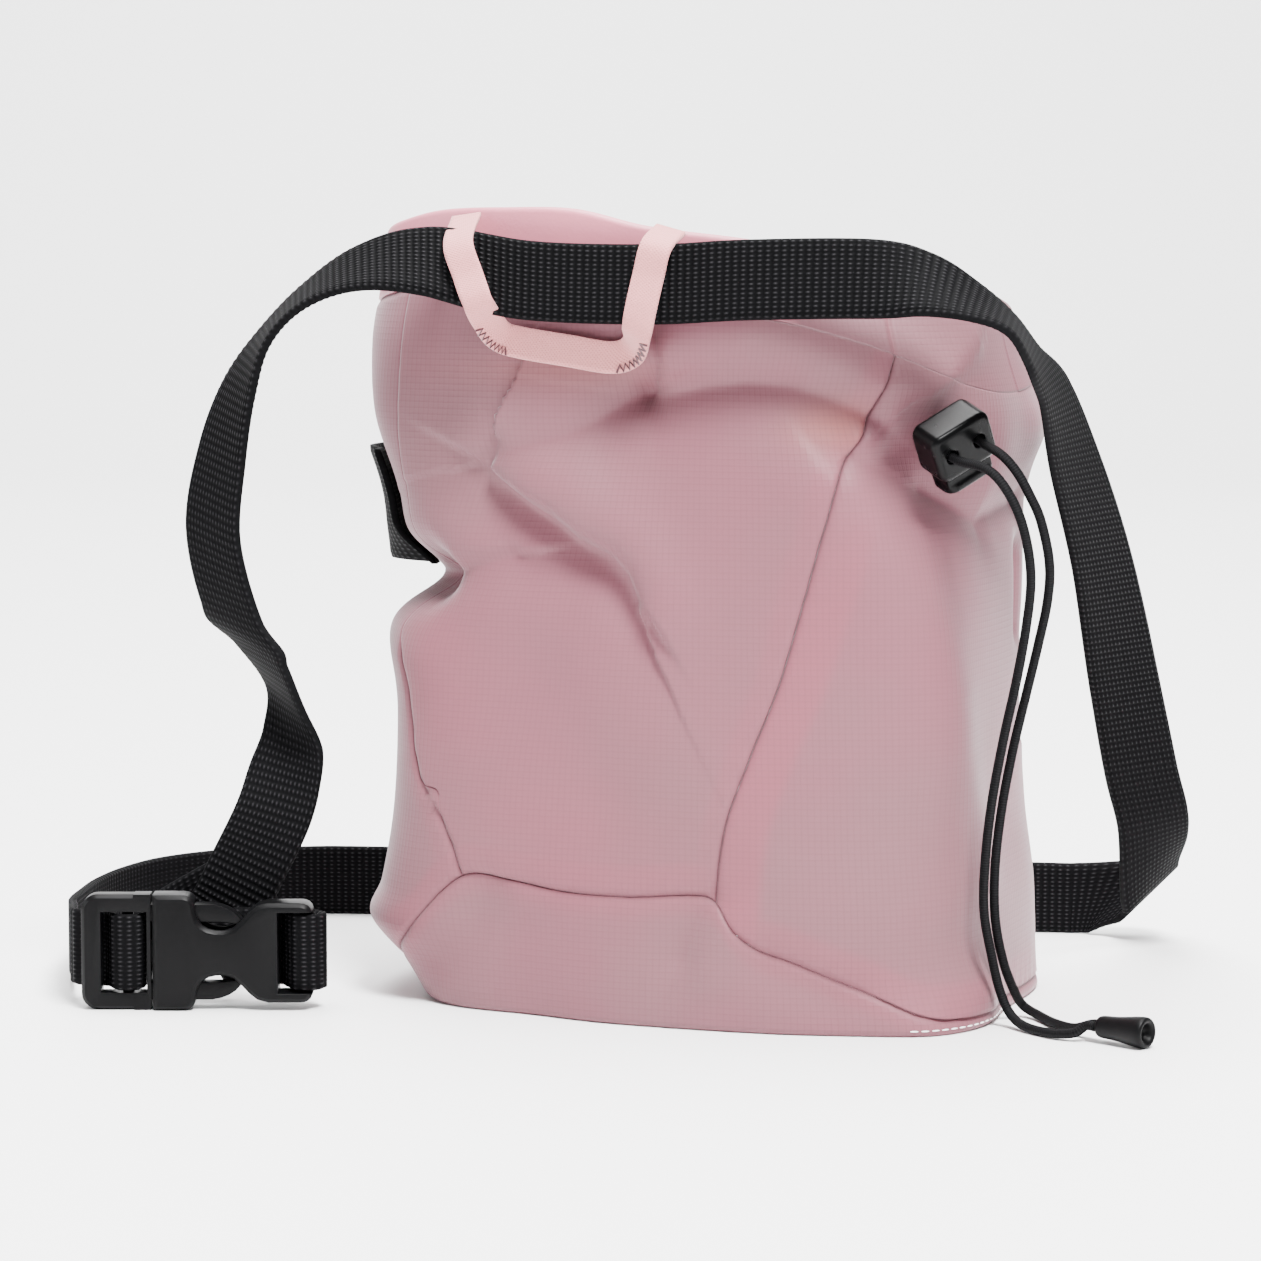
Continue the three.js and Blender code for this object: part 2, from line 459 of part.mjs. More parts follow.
// The belt, in order. Rows with x, y, z are shares of half the bag's width, half its depth and its
// height. Rows with along, height, back are at the buckle: along and back are shares of the
// webbing's width, and height is a share of the buckle's height. turn and tilt point across the
// belt, towards the edge that lies on top over the front of the bag. beltStand is how far before
// the bag's middle the belt crosses its front, as a share of half the bag's depth.
const beltStand = 1.14;
const beltRows = [
  { name: 'sewn end', along: 0.76, height: 0.5, back: 0.33, turn: 200, tilt: 90 },
  { name: 'behind the body', along: 0.99, height: 0.5, back: 0.30, turn: 200, tilt: 90 },
  { name: 'through the slot', along: 1.10, height: 0.5, back: 0.04, turn: 200, tilt: 90 },
  { name: 'front of the bar', along: 1.24, height: 0.5, back: -0.15, turn: 200, tilt: 90 },
  { name: 'front corner', along: 1.43, height: 0.5, back: -0.13, turn: 200, tilt: 90 },
  { name: 'round the bar', along: 1.53, height: 0.5, back: 0.02, turn: 200, tilt: 90 },
  { name: 'back corner', along: 1.43, height: 0.5, back: 0.22, turn: 200, tilt: 90 },
  { name: 'leaving the bar', along: 1.18, height: 0.5, back: 0.40, turn: 200, tilt: 90 },
  { name: 'behind the buckle', along: 0.73, height: 0.5, back: 0.46, turn: 200, tilt: 90 },
  { name: 'before the fold', along: 0.39, height: 0.49, back: 0.47, turn: 200, tilt: 88 },
  { name: 'fold, near layer', along: 0.10, height: 0.49, back: 0.475, turn: 200, tilt: 58 },
  { name: 'fold, roll', along: -0.03, height: 0.48, back: 0.55, turn: 200, tilt: 58 },
  { name: 'fold, far layer', along: -0.02, height: 0.56, back: 0.62, turn: 200, tilt: 58 },
  { name: 'above the fold', along: 0.25, height: 0.81, back: 0.63, turn: 200, tilt: 30 },
  { name: 'clear of the buckle', along: 0.50, height: 1.14, back: 0.63, turn: 200, tilt: 26 },
  { name: 'foot of the left drop', x: -1.205, y: -1.12, z: 0.234, turn: 198, tilt: 17 },
  { name: 'left drop, lower bend', x: -1.182, y: -1.05, z: 0.285, turn: 184, tilt: 14 },
  { name: 'left drop, waist', x: -1.168, y: -1.00, z: 0.332, turn: 160, tilt: 14 },
  { name: 'left drop, narrow', x: -1.196, y: -1.00, z: 0.383, turn: 139, tilt: 12 },
  { name: 'left drop, slanting', x: -1.28, y: -1.00, z: 0.437, turn: 146, tilt: 11 },
  { name: 'left drop, out', x: -1.376, y: -1.00, z: 0.486, turn: 158, tilt: 12 },
  { name: 'left drop, widest', x: -1.434, y: -1.02, z: 0.589, turn: 158, tilt: 16 },
  { name: 'left arch, side', x: -1.394, y: -1.04, z: 0.69, turn: 150, tilt: 13 },
  { name: 'left arch, shoulder', x: -1.328, y: -1.06, z: 0.772, turn: 136, tilt: 10 },
  { name: 'left arch, edge on', x: -1.235, y: -1.08, z: 0.836, turn: 120, tilt: 7 },
  { name: 'left arch, top', x: -1.097, y: -1.09, z: 0.888, turn: 114, tilt: 13 },
  { name: 'left arch, rising', x: -0.91, y: -1.10, z: 0.924, turn: 114, tilt: 30 },
  { name: 'front, left end', x: -0.68, y: -1.11, z: 0.933, turn: 112, tilt: 54 },
  { name: 'front, in the loop', x: -0.332, y: -beltStand, z: 0.911, turn: 105, tilt: 80 },
  { name: 'front, middle', x: 0.07, y: -beltStand, z: 0.907, turn: 100, tilt: 84 },
  { name: 'front, right of it', x: 0.372, y: -beltStand, z: 0.913, turn: 98, tilt: 84 },
  { name: 'front, right end', x: 0.738, y: -1.09, z: 0.915, turn: 96, tilt: 76 },
  { name: 'right arch, leaving', x: 0.922, y: -1.055, z: 0.908, turn: 95, tilt: 46 },
  { name: 'right arch, top', x: 1.06, y: -0.99, z: 0.886, turn: 98, tilt: 22 },
  { name: 'right arch, edge on', x: 1.145, y: -0.88, z: 0.86, turn: 102, tilt: 9 },
  { name: 'right arch, side', x: 1.18, y: -0.69, z: 0.82, turn: 100, tilt: 8 },
  { name: 'right drop, start', x: 1.203, y: -0.43, z: 0.775, turn: 90, tilt: 7 },
  { name: 'right drop, upper', x: 1.205, y: -0.065, z: 0.686, turn: 77, tilt: 3 },
  { name: 'right drop, middle', x: 1.212, y: 0.435, z: 0.549, turn: 65, tilt: 3 },
  { name: 'right drop, lower', x: 1.20, y: 0.98, z: 0.378, turn: 42, tilt: 6 },
  { name: 'right drop, full width', x: 1.205, y: 1.304, z: 0.256, turn: 24, tilt: 9 },
  { name: 'above the right fold', x: 1.215, y: 1.52, z: 0.175, turn: 20, tilt: 14 },
  { name: 'right fold, near layer', x: 1.165, y: 1.80, z: 0.092, turn: 20, tilt: 42 },
  { name: 'right fold, roll', x: 1.13, y: 1.935, z: 0.066, turn: 20, tilt: 45 },
  { name: 'right fold, far layer', x: 1.03, y: 2.02, z: 0.055, turn: 20, tilt: 50 },
  { name: 'floor, after the fold', x: 0.88, y: 2.00, z: 0.0495, turn: 20, tilt: 84 },
  { name: 'floor, behind the right', x: 0.70, y: 1.94, z: 0.0493, turn: 20, tilt: 90 },
  { name: 'floor, behind the bag', x: -0.37, y: 1.64, z: 0.0493, turn: 20, tilt: 90 },
  { name: 'floor, behind the left', x: -1.53, y: 1.32, z: 0.0493, turn: 20, tilt: 90 },
  { name: 'floor, bending forward', x: -1.83, y: 1.16, z: 0.0493, turn: 20, tilt: 90 },
  { name: 'floor, left rear', x: -2.04, y: 0.93, z: 0.0493, turn: 20, tilt: 90 },
  { name: 'floor, far left', x: -2.16, y: 0.59, z: 0.0493, turn: 20, tilt: 90 },
  { name: 'floor, left', x: -2.18, y: 0.20, z: 0.0495, turn: 20, tilt: 90 },
  { name: 'floor, coming forward', x: -2.145, y: -0.19, z: 0.05, turn: 20, tilt: 90 },
  { name: 'rising to the buckle', x: -2.07, y: -0.56, z: 0.053, turn: 20, tilt: 90 },
  { name: 'left of the buckle', x: -1.975, y: -0.94, z: 0.059, turn: 20, tilt: 90 },
  { name: 'nearing the buckle', x: -1.86, y: -1.26, z: 0.067, turn: 20, tilt: 90 },
  { name: 'turn into the frame', along: -1.70, height: 0.5, back: 0.34, turn: 20, tilt: 90 },
  { name: 'behind the outer bar', along: -1.47, height: 0.5, back: 0.245, turn: 20, tilt: 90 },
  { name: 'up through the slot', along: -1.26, height: 0.5, back: 0.175, turn: 20, tilt: 90 },
  { name: 'in the slot', along: -1.175, height: 0.5, back: 0.03, turn: 20, tilt: 90 },
  { name: 'over the middle bar', along: -1.12, height: 0.5, back: -0.09, turn: 20, tilt: 90 },
  { name: 'on the middle bar', along: -0.98, height: 0.5, back: -0.145, turn: 20, tilt: 90 },
  { name: 'off the middle bar', along: -0.835, height: 0.5, back: -0.085, turn: 20, tilt: 90 },
  { name: 'down the second slot', along: -0.81, height: 0.5, back: 0.12, turn: 20, tilt: 90 },
  { name: 'tail, leaving', along: -0.77, height: 0.52, back: 0.41, turn: 20, tilt: 90 },
  { name: 'tail, behind', along: -0.66, height: 0.56, back: 0.68, turn: 200, tilt: 84 },
  { name: 'tail, rising', along: -0.36, height: 0.68, back: 0.82, turn: 200, tilt: 74 },
  { name: 'tail end', along: 0.15, height: 0.87, back: 0.84, turn: 200, tilt: 70 },
];

function beltRow(row) {
  const across = acrossDirection(row.turn, row.tilt);
  if ('along' in row) {
    const along = row.along * webbing.width;
    const middle = atBuckle(along, row.height * buckleHeight, row.back * webbing.width);
    return { middle, across };
  }
  const middle = new THREE.Vector3(row.x * bag.width / 2, row.y * bag.depth / 2, row.z * bag.height);
  return { middle, across };
}

addPiece('waist_belt', strip(beltRows.map(beltRow), webbing.width, webbing.thick, 2), webbingFinish);

// The belt loop: one tape sewn over the rim at both ends, in front of the belt. x is a share of
// half the bag's width and z of its height. off is 0 on the bag's wall and 1 in front of the
// belt, and lean turns the tape's width from +X towards +Z, in degrees.
const tapeRows = [
  { name: 'left end on the rim', x: -0.59, z: 0.989, off: 0.1, lean: 8 },
  { name: 'left leg, over the belt', x: -0.576, z: 0.974, off: 0.85, lean: 9 },
  { name: 'left leg, on the belt', x: -0.548, z: 0.925, off: 1.1, lean: 14 },
  { name: 'left leg, low', x: -0.508, z: 0.876, off: 1.34, lean: 20 },
  { name: 'left corner, above', x: -0.474, z: 0.848, off: 0.75, lean: 30 },
  { name: 'left corner', x: -0.428, z: 0.824, off: 0.22, lean: 58 },
  { name: 'run, left end', x: -0.365, z: 0.815, off: 0.14, lean: 84 },
  { name: 'run, middle', x: -0.23, z: 0.810, off: 0.12, lean: 84 },
  { name: 'run, right end', x: -0.09, z: 0.808, off: 0.14, lean: 86 },
  { name: 'right corner', x: -0.03, z: 0.818, off: 0.2, lean: 122 },
  { name: 'right corner, above', x: 0.004, z: 0.842, off: 0.95, lean: 150 },
  { name: 'right leg, low', x: 0.03, z: 0.874, off: 1.14, lean: 162 },
  { name: 'right leg, on the belt', x: 0.06, z: 0.922, off: 1.02, lean: 166 },
  { name: 'right leg, over the belt', x: 0.092, z: 0.961, off: 0.98, lean: 165 },
  { name: 'right end on the rim', x: 0.104, z: 0.973, off: 0.1, lean: 165 },
];

function tapeRow(row) {
  const x = row.x * bag.width / 2;
  const z = row.z * bag.height;
  let angle = 270;
  for (let pass = 0; pass < 8; pass += 1) {
    const wall = wallPoint(angle, z);
    angle += THREE.MathUtils.radToDeg((x - wall.x) / wallRadius(angle, z));
  }
  const onWall = wallPoint(angle, z).y - gap - tape.thick;
  const overBelt = -beltStand * bag.depth / 2 - webbing.thick / 2 - gap - tape.thick;
  const lean = radians(row.lean);
  const middle = new THREE.Vector3(x, lerp(onWall, overBelt, row.off), z);
  return { middle, across: new THREE.Vector3(Math.cos(lean), 0, Math.sin(lean)) };
}
addPiece('belt_loop', strip(tapeRows.map(tapeRow), tape.width, tape.thick, 2), tapeFinish);

// A closed solid of manifold-3d from a three.js geometry, and back
function solid(geometry) {
  const bare = geometry.clone();
  bare.deleteAttribute('normal');
  bare.deleteAttribute('uv');
  const merged = mergeVertices(bare, 1e-5);
  return new wasm.Manifold(new wasm.Mesh({
    numProp: 3,
    vertProperties: new Float32Array(merged.attributes.position.array),
    triVerts: new Uint32Array(merged.index.array),
  }));
}

function solidGeometry(body) {
  const mesh = body.getMesh();
  const geometry = new THREE.BufferGeometry();
  geometry.setAttribute('position', new THREE.BufferAttribute(new Float32Array(mesh.vertProperties), 3));
  geometry.setIndex(new THREE.BufferAttribute(new Uint32Array(mesh.triVerts), 1));
  geometry.computeVertexNormals();
  return geometry;
}

// A plate from an outline, from one depth to another along its own Z
function plate(shape, back, front, bevel = 0) {
  const geometry = new THREE.ExtrudeGeometry(shape, {
    depth: front - back - 2 * bevel,
    bevelEnabled: bevel > 0,
    bevelThickness: bevel,
    bevelSize: bevel,
    bevelOffset: -bevel,
    bevelSegments: 1,
    curveSegments: 5,
  });
  geometry.translate(0, 0, back + bevel);
  return solid(geometry);
}

function rounded(left, low, right, high, radius) {
  const shape = new THREE.Shape();
  shape.moveTo(left + radius, low);
  shape.lineTo(right - radius, low);
  shape.absarc(right - radius, low + radius, radius, -Math.PI / 2, 0);
  shape.lineTo(right, high - radius);
  shape.absarc(right - radius, high - radius, radius, 0, Math.PI / 2);
  shape.lineTo(left + radius, high);
  shape.absarc(left + radius, high - radius, radius, Math.PI / 2, Math.PI);
  shape.lineTo(left, low + radius);
  shape.absarc(left + radius, low + radius, radius, Math.PI, Math.PI * 1.5);
  return shape;
}

function block(x0, y0, z0, x1, y1, z1) {
  const geometry = new THREE.BoxGeometry(x1 - x0, y1 - y0, z1 - z0);
  geometry.translate((x0 + x1) / 2, (y0 + y1) / 2, (z0 + z1) / 2);
  return solid(geometry);
}

// The buckle is modelled flat, with X along it, Y up and Z towards its face, and then stood up
const standUp = new THREE.Matrix4()
  .makeBasis(buckleAlong, up, buckleBack.clone().negate())
  .setPosition(buckleMiddle);

const middleY = buckleHeight / 2;
const slotHalf = webbing.width / 2 + buckle.play;
const frontFace = buckle.thick / 2;
const seamX = -11.2;
const maleLeft = seamX - buckleHalves.maleLength;
const femaleLeft = seamX + buckleHalves.seam;
const femaleRight = femaleLeft + buckleHalves.femaleLength;
const frameFace = frontFace * 0.62;

// The female's end round its bar: half its height, corner radius, the bar and the slot before it
const femaleEnd = {
  half: slotHalf + 2, corner: 2.8, bar: buckle.bar, barFace: 1.1, slot: 4.5, edge: 0.9,
};

// The cut-outs above and below the female's middle. Lengths run from its left end, and halves
// are above and below the buckle's middle. leave and arrive are the pulls of the curves.
const waist = {
  shoulder: 6.4, neck: 9.2, neckHalf: 8.6, middle: 15, half: 4.8, back: 24.5,
  neckPull: 0.6, neckDrop: 0.8, arrive: 3, leave: 4, climb: 5,
};

function femaleOutline() {
  const shape = new THREE.Shape();
  const h = buckleHeight / 2;
  const end = femaleRight - femaleLeft;
  const at = (x, y) => [femaleLeft + x, middleY + y];
  const low = waist.half;
  const high = femaleEnd.half;
  const neckTo = [waist.neck + waist.neckPull, low + waist.neckDrop];
  shape.moveTo(...at(0, -h));
  shape.lineTo(...at(waist.shoulder, -h));
  shape.quadraticCurveTo(...at(waist.neck, -h), ...at(waist.neck, -waist.neckHalf));
  shape.bezierCurveTo(
    ...at(neckTo[0], -neckTo[1]),
    ...at(waist.middle - waist.arrive, -low),
    ...at(waist.middle, -low),
  );
  shape.bezierCurveTo(
    ...at(waist.middle + waist.leave, -low),
    ...at(waist.middle + waist.climb, -high),
    ...at(waist.back, -high),
  );
  shape.lineTo(...at(end - femaleEnd.corner, -high));
  shape.quadraticCurveTo(...at(end, -high), ...at(end, -high + femaleEnd.corner));
  shape.lineTo(...at(end, high - femaleEnd.corner));
  shape.quadraticCurveTo(...at(end, high), ...at(end - femaleEnd.corner, high));
  shape.lineTo(...at(waist.back, high));
  shape.bezierCurveTo(
    ...at(waist.middle + waist.climb, high),
    ...at(waist.middle + waist.leave, low),
    ...at(waist.middle, low),
  );
  shape.bezierCurveTo(
    ...at(waist.middle - waist.arrive, low),
    ...at(...neckTo),
    ...at(waist.neck, waist.neckHalf),
  );
  shape.quadraticCurveTo(...at(waist.neck, h), ...at(waist.shoulder, h));
  shape.lineTo(...at(0, h));
  return shape;
}

// One arm of the male half. bend and tip are lengths from the female's left end, and outer, inner
// and tipHalf are above and below the buckle's middle. clear is the room round it in the female.
const arm = {
  outer: 10.2, inner: 6.6, bend: 12.5, tip: 19.4, tipHalf: 5.6, face: 2.1, clear: 0.35,
  outerPull: 1.6, outerDrop: 0.6, innerPull: 2.4,
};
const beyond = 1;

function femaleHalf() {
  const body = plate(femaleOutline(), -frontFace, frontFace, femaleEnd.edge);
  const barLeft = femaleRight - femaleEnd.bar;
  const low = middleY - slotHalf;
  const high = middleY + slotHalf;
  const deep = frontFace + beyond;
  const slot = block(barLeft - femaleEnd.slot, low, -deep, barLeft, high, deep);
  const overBar = block(barLeft - beyond, low, femaleEnd.barFace, femaleRight + beyond, high, deep);
  const underBar = block(barLeft - beyond, low, -deep, femaleRight + beyond, high, -femaleEnd.barFace);
  const room = arm.face + arm.clear;
  const reach = arm.outer + arm.clear;
  const cavity = block(
    femaleLeft - beyond, middleY - reach, -room,
    femaleLeft + buckleHalves.prong + beyond, middleY + reach, room,
  );
  return body.subtract(slot).subtract(overBar).subtract(underBar).subtract(cavity);
}

const frame = { corner: 3.6, edge: 0.8, leftBar: 4.2, barFrom: 8.7, barTo: 11, barFace: 0.9, rail: 0.8 };
const tongue = { half: 2.4, face: 1.4, reach: 12 };
const armRoot = seamX - frame.rail;

function prong(side) {
  const shape = new THREE.Shape();
  const at = (x, y) => [femaleLeft + x, middleY + side * y];
  shape.moveTo(armRoot, middleY + side * arm.outer);
  shape.lineTo(...at(arm.bend, arm.outer));
  const bulge = at(arm.tip - arm.outerPull, arm.outer - arm.outerDrop);
  shape.quadraticCurveTo(...bulge, ...at(arm.tip, arm.tipHalf));
  shape.quadraticCurveTo(...at(arm.tip - arm.innerPull, arm.inner), ...at(arm.bend, arm.inner));
  shape.lineTo(armRoot, middleY + side * arm.inner);
  return plate(shape, -arm.face, arm.face);
}

function maleHalf() {
  const h = buckleHeight / 2;
  const outline = rounded(maleLeft, middleY - h, seamX, middleY + h, frame.corner);
  const body = plate(outline, -frameFace, frameFace, frame.edge);
  const squareEnd = block(seamX - frame.corner, 0, -frameFace, seamX, buckleHeight, frameFace);
  const window = block(
    maleLeft + frame.leftBar, middleY - slotHalf, -frontFace,
    seamX - frame.rail, middleY + slotHalf, frontFace,
  );
  const middleBar = block(
    maleLeft + frame.barFrom, middleY - slotHalf - beyond, -frame.barFace,
    maleLeft + frame.barTo, middleY + slotHalf + beyond, frame.barFace,
  );
  const tab = block(
    seamX - frame.rail, middleY - tongue.half, -tongue.face,
    femaleLeft + tongue.reach, middleY + tongue.half, tongue.face,
  );
  return body.add(squareEnd).subtract(window).add(middleBar).add(tab).add(prong(1)).add(prong(-1));
}

addPiece('buckle_female', solidGeometry(femaleHalf()).applyMatrix4(standUp), plasticFinish);
addPiece('buckle_male', solidGeometry(maleHalf()).applyMatrix4(standUp), plasticFinish);

// The cord lock is modelled with X across its two holes, Y along its plunger and Z along the cords
const lockFace = new THREE.Vector3(0.756, -0.555, -0.35).normalize();
const lockPress = new THREE.Vector3(0.42, 0.25, -0.87);
lockPress.addScaledVector(lockFace, -lockPress.dot(lockFace)).normalize();
const lockAcross = lockPress.clone().negate().cross(lockFace);
const lockMiddle = wallPoint(lockSeat.angle, lockSeat.height * bag.height)
  .addScaledVector(lockFace, lockSeat.stand);
const lockBasis = new THREE.Matrix4()
  .makeBasis(lockAcross, lockPress.clone().negate(), lockFace)
  .setPosition(lockMiddle);

function hole(x, radius, stretch = 0) {
  const geometry = new THREE.CylinderGeometry(radius, radius, lock.deep * 2, 12);
  geometry.rotateX(Math.PI / 2);
  geometry.translate(x, 0, 0);
  const round = solid(geometry);
  if (stretch === 0) return round;
  const moved = round.translate([0, -stretch, 0]);
  const between = block(x - radius, -stretch, -lock.deep, x + radius, 0, lock.deep);
  return round.add(moved).add(between);
}

const holeRadius = cord.diameter / 2 + cord.play;
const stemWide = lock.holeSpacing + 2 * holeRadius + lock.roof;
const stemDeep = lock.deep - 2 * (lock.wall + plunger.running);

function lockHousing() {
  const outline = rounded(-lock.wide / 2, -lock.tall / 2, lock.wide / 2, lock.tall / 2, lock.round);
  const body = plate(outline, -lock.deep / 2, lock.deep / 2, lock.edge);
  const side = stemWide / 2 + plunger.running;
  const room = stemDeep / 2 + plunger.running;
  const cavity = block(-side, -lock.tall, -room, side, lock.tall / 2 - lock.roof, room);
  return body.subtract(cavity).subtract(hole(-lock.holeSpacing / 2, holeRadius))
    .subtract(hole(lock.holeSpacing / 2, holeRadius));
}

function lockPlunger() {
  const foot = -lock.tall / 2 - plunger.travel - plunger.running;
  const stemTop = lock.tall / 2 - lock.roof - plunger.travel - plunger.running;
  const join = foot - plunger.lip / 4;
  const stem = block(-stemWide / 2, join, -stemDeep / 2, stemWide / 2, stemTop, stemDeep / 2);
  const lipWide = lock.wide / 2 * plunger.lipShare;
  const lipDeep = lock.deep / 2 * plunger.lipShare;
  const lip = plate(
    rounded(-lipWide, -lipDeep, lipWide, lipDeep, plunger.lipRound), 0, plunger.lip, plunger.lipEdge,
  ).rotate([90, 0, 0]).translate([0, foot, 0]);
  const half = lock.holeSpacing / 2;
  return stem.add(lip).subtract(hole(-half, holeRadius, plunger.travel))
    .subtract(hole(half, holeRadius, plunger.travel));
}

addPiece('cord_lock_housing', solidGeometry(lockHousing()).applyMatrix4(lockBasis), plasticFinish);
addPiece('cord_lock_plunger', solidGeometry(lockPlunger()).applyMatrix4(lockBasis), plasticFinish);

// The two strands: from the wall behind the lock, through its holes, and down to the floor
const atLock = (across, out) => new THREE.Vector3(across, 0, out).applyMatrix4(lockBasis);
const onFloor = cord.diameter / 2 + 0.2;
const bellAt = new THREE.Vector3(97.2, -38.6, bell.wide);
const bellTurn = -21;
const bellAlong = new THREE.Vector3(Math.cos(radians(bellTurn)), Math.sin(radians(bellTurn)), 0);
const bellAcross = new THREE.Vector3(-bellAlong.y, bellAlong.x, 0);
const atBell = (side, before) => bellAt.clone()
  .addScaledVector(bellAcross, side * (cord.diameter / 2 + bell.cordApart))
  .addScaledVector(bellAlong, -before);

const outerRoute = [
  atLock(lock.holeSpacing / 2, -lock.deep / 2 - 0.5),
  atLock(lock.holeSpacing / 2, 0),
  atLock(lock.holeSpacing / 2, lock.deep / 2 + 1.5),
  new THREE.Vector3(76.6, -42.0, 119.9),
  new THREE.Vector3(80.0, -43.0, 116.6),
  new THREE.Vector3(82.6, -42.6, 112.0),
  new THREE.Vector3(84.6, -41.0, 106.6),
  new THREE.Vector3(85.8, -38.6, 98.0),
  new THREE.Vector3(84.8, -36.0, 90.0),
  new THREE.Vector3(82.0, -33.0, 80.0),
  new THREE.Vector3(78.8, -30.5, 69.0),
  new THREE.Vector3(76.0, -29.5, 58.0),
  new THREE.Vector3(73.8, -29.5, 46.0),
  new THREE.Vector3(72.6, -30.0, 34.0),
  new THREE.Vector3(72.4, -29.0, 23.0),
  new THREE.Vector3(73.4, -26.2, 13.5),
  new THREE.Vector3(74.6, -21.6, 6.5),
  new THREE.Vector3(75.4, -17.2, 2.6),
  new THREE.Vector3(79.6, -20.0, onFloor),
  new THREE.Vector3(85.1, -27.6, onFloor),
  new THREE.Vector3(90.6, -33.4, 1.6),
  atBell(1, 2.5),
  atBell(1, gap),
];
const innerRoute = [
  atLock(-lock.holeSpacing / 2, -lock.deep / 2 - 0.5),
  atLock(-lock.holeSpacing / 2, 0),
  atLock(-lock.holeSpacing / 2, lock.deep / 2 + 1.5),
  new THREE.Vector3(73.6, -44.4, 117.4),
  new THREE.Vector3(77.6, -46.0, 114.6),
  new THREE.Vector3(80.8, -45.4, 109.0),
  new THREE.Vector3(82.4, -43.4, 102.0),
  new THREE.Vector3(82.6, -41.0, 94.0),
  new THREE.Vector3(80.8, -38.0, 84.0),
  new THREE.Vector3(78.2, -35.4, 73.0),
  new THREE.Vector3(75.2, -33.8, 61.0),
  new THREE.Vector3(72.8, -33.6, 48.0),
  new THREE.Vector3(71.6, -34.0, 36.0),
  new THREE.Vector3(71.2, -33.4, 25.0),
  new THREE.Vector3(72.5, -31.6, 15.0),
  new THREE.Vector3(73.8, -29.6, 7.5),
  new THREE.Vector3(76.2, -29.8, 2.8),
  new THREE.Vector3(80.6, -33.8, onFloor),
  new THREE.Vector3(87.4, -38.6, onFloor),
  new THREE.Vector3(92.2, -39.6, 1.8),
  atBell(-1, 2.5),
  atBell(-1, gap),
];

function strand(route, steps) {
  const radius = cord.diameter / 2;
  const section = new THREE.Shape();
  for (let k = 0; k < cord.sides; k += 1) {
    const turn = 2 * Math.PI * k / cord.sides;
    const to = k === 0 ? 'moveTo' : 'lineTo';
    section[to](radius * Math.cos(turn), radius * Math.sin(turn));
  }
  const path = new THREE.CatmullRomCurve3(route);
  return new THREE.ExtrudeGeometry(section, { steps, extrudePath: path });
}
addPiece('drawcord_outer', strand(outerRoute, 38), cordFinish);
addPiece('drawcord_inner', strand(innerRoute, 36), cordFinish);

// The bell's radius along it. along is a share of its length and radius a share of its wide end.
const bellProfile = [
  { along: 0, radius: 0 },
  { along: 0, radius: 0.63 },
  { along: 0.067, radius: 0.70 },
  { along: 0.35, radius: 0.74 },
  { along: 0.7, radius: 0.92 },
  { along: 0.93, radius: 1 },
  { along: 1, radius: 0.8 },
  { along: 1, radius: 0 },
];

function bellBody() {
  const profile = bellProfile.map(
    (row) => new THREE.Vector2(row.radius * bell.wide, row.along * bell.length),
  );
  const geometry = new THREE.LatheGeometry(profile, 14);
  geometry.rotateZ(-Math.PI / 2);
  geometry.rotateZ(radians(bellTurn));
  geometry.translate(bellAt.x, bellAt.y, bellAt.z);
  return geometry;
}
addPiece('cord_end', bellBody(), plasticFinish);

export default chalkBag;
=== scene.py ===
import math

import bmesh
import bpy
import numpy as np
from bpy.props import FloatProperty, FloatVectorProperty, PointerProperty
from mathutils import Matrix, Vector


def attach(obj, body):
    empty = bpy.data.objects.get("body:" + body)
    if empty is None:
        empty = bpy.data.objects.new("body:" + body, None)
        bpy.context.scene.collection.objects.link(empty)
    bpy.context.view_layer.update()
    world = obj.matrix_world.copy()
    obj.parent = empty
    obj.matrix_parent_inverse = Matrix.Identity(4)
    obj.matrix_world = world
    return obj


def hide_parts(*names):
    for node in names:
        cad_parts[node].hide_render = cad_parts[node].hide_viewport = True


bl_info = {
    "name": "Climbing chalk bag",
    "version": (1, 0, 0),
    "blender": (4, 5, 0),
    "location": "3D View > Sidebar > Chalk bag",
    "description": "Makes a climbing chalk bag with its belt, buckle and drawcord",
    "category": "Object",
}

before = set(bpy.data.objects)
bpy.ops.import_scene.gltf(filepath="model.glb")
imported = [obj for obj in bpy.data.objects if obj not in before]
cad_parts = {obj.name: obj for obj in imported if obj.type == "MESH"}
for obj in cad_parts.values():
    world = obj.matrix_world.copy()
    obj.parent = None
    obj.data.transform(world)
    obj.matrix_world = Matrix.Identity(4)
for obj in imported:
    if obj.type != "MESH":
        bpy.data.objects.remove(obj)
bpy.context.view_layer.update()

MM = 0.001
PHOTO_PIXELS = 1261
UP = np.array([0.0, 0.0, 1.0])


# Sizes and colours


def length(name, description, default):
    """A size in metres that shows in the sidebar."""
    return FloatProperty(
        name=name, description=description, default=default, min=0, unit="LENGTH", precision=4
    )


def tint(name, description, default):
    """A colour that shows in the sidebar."""
    return FloatVectorProperty(
        name=name, description=description, default=default, subtype="COLOR", min=0, max=1
    )


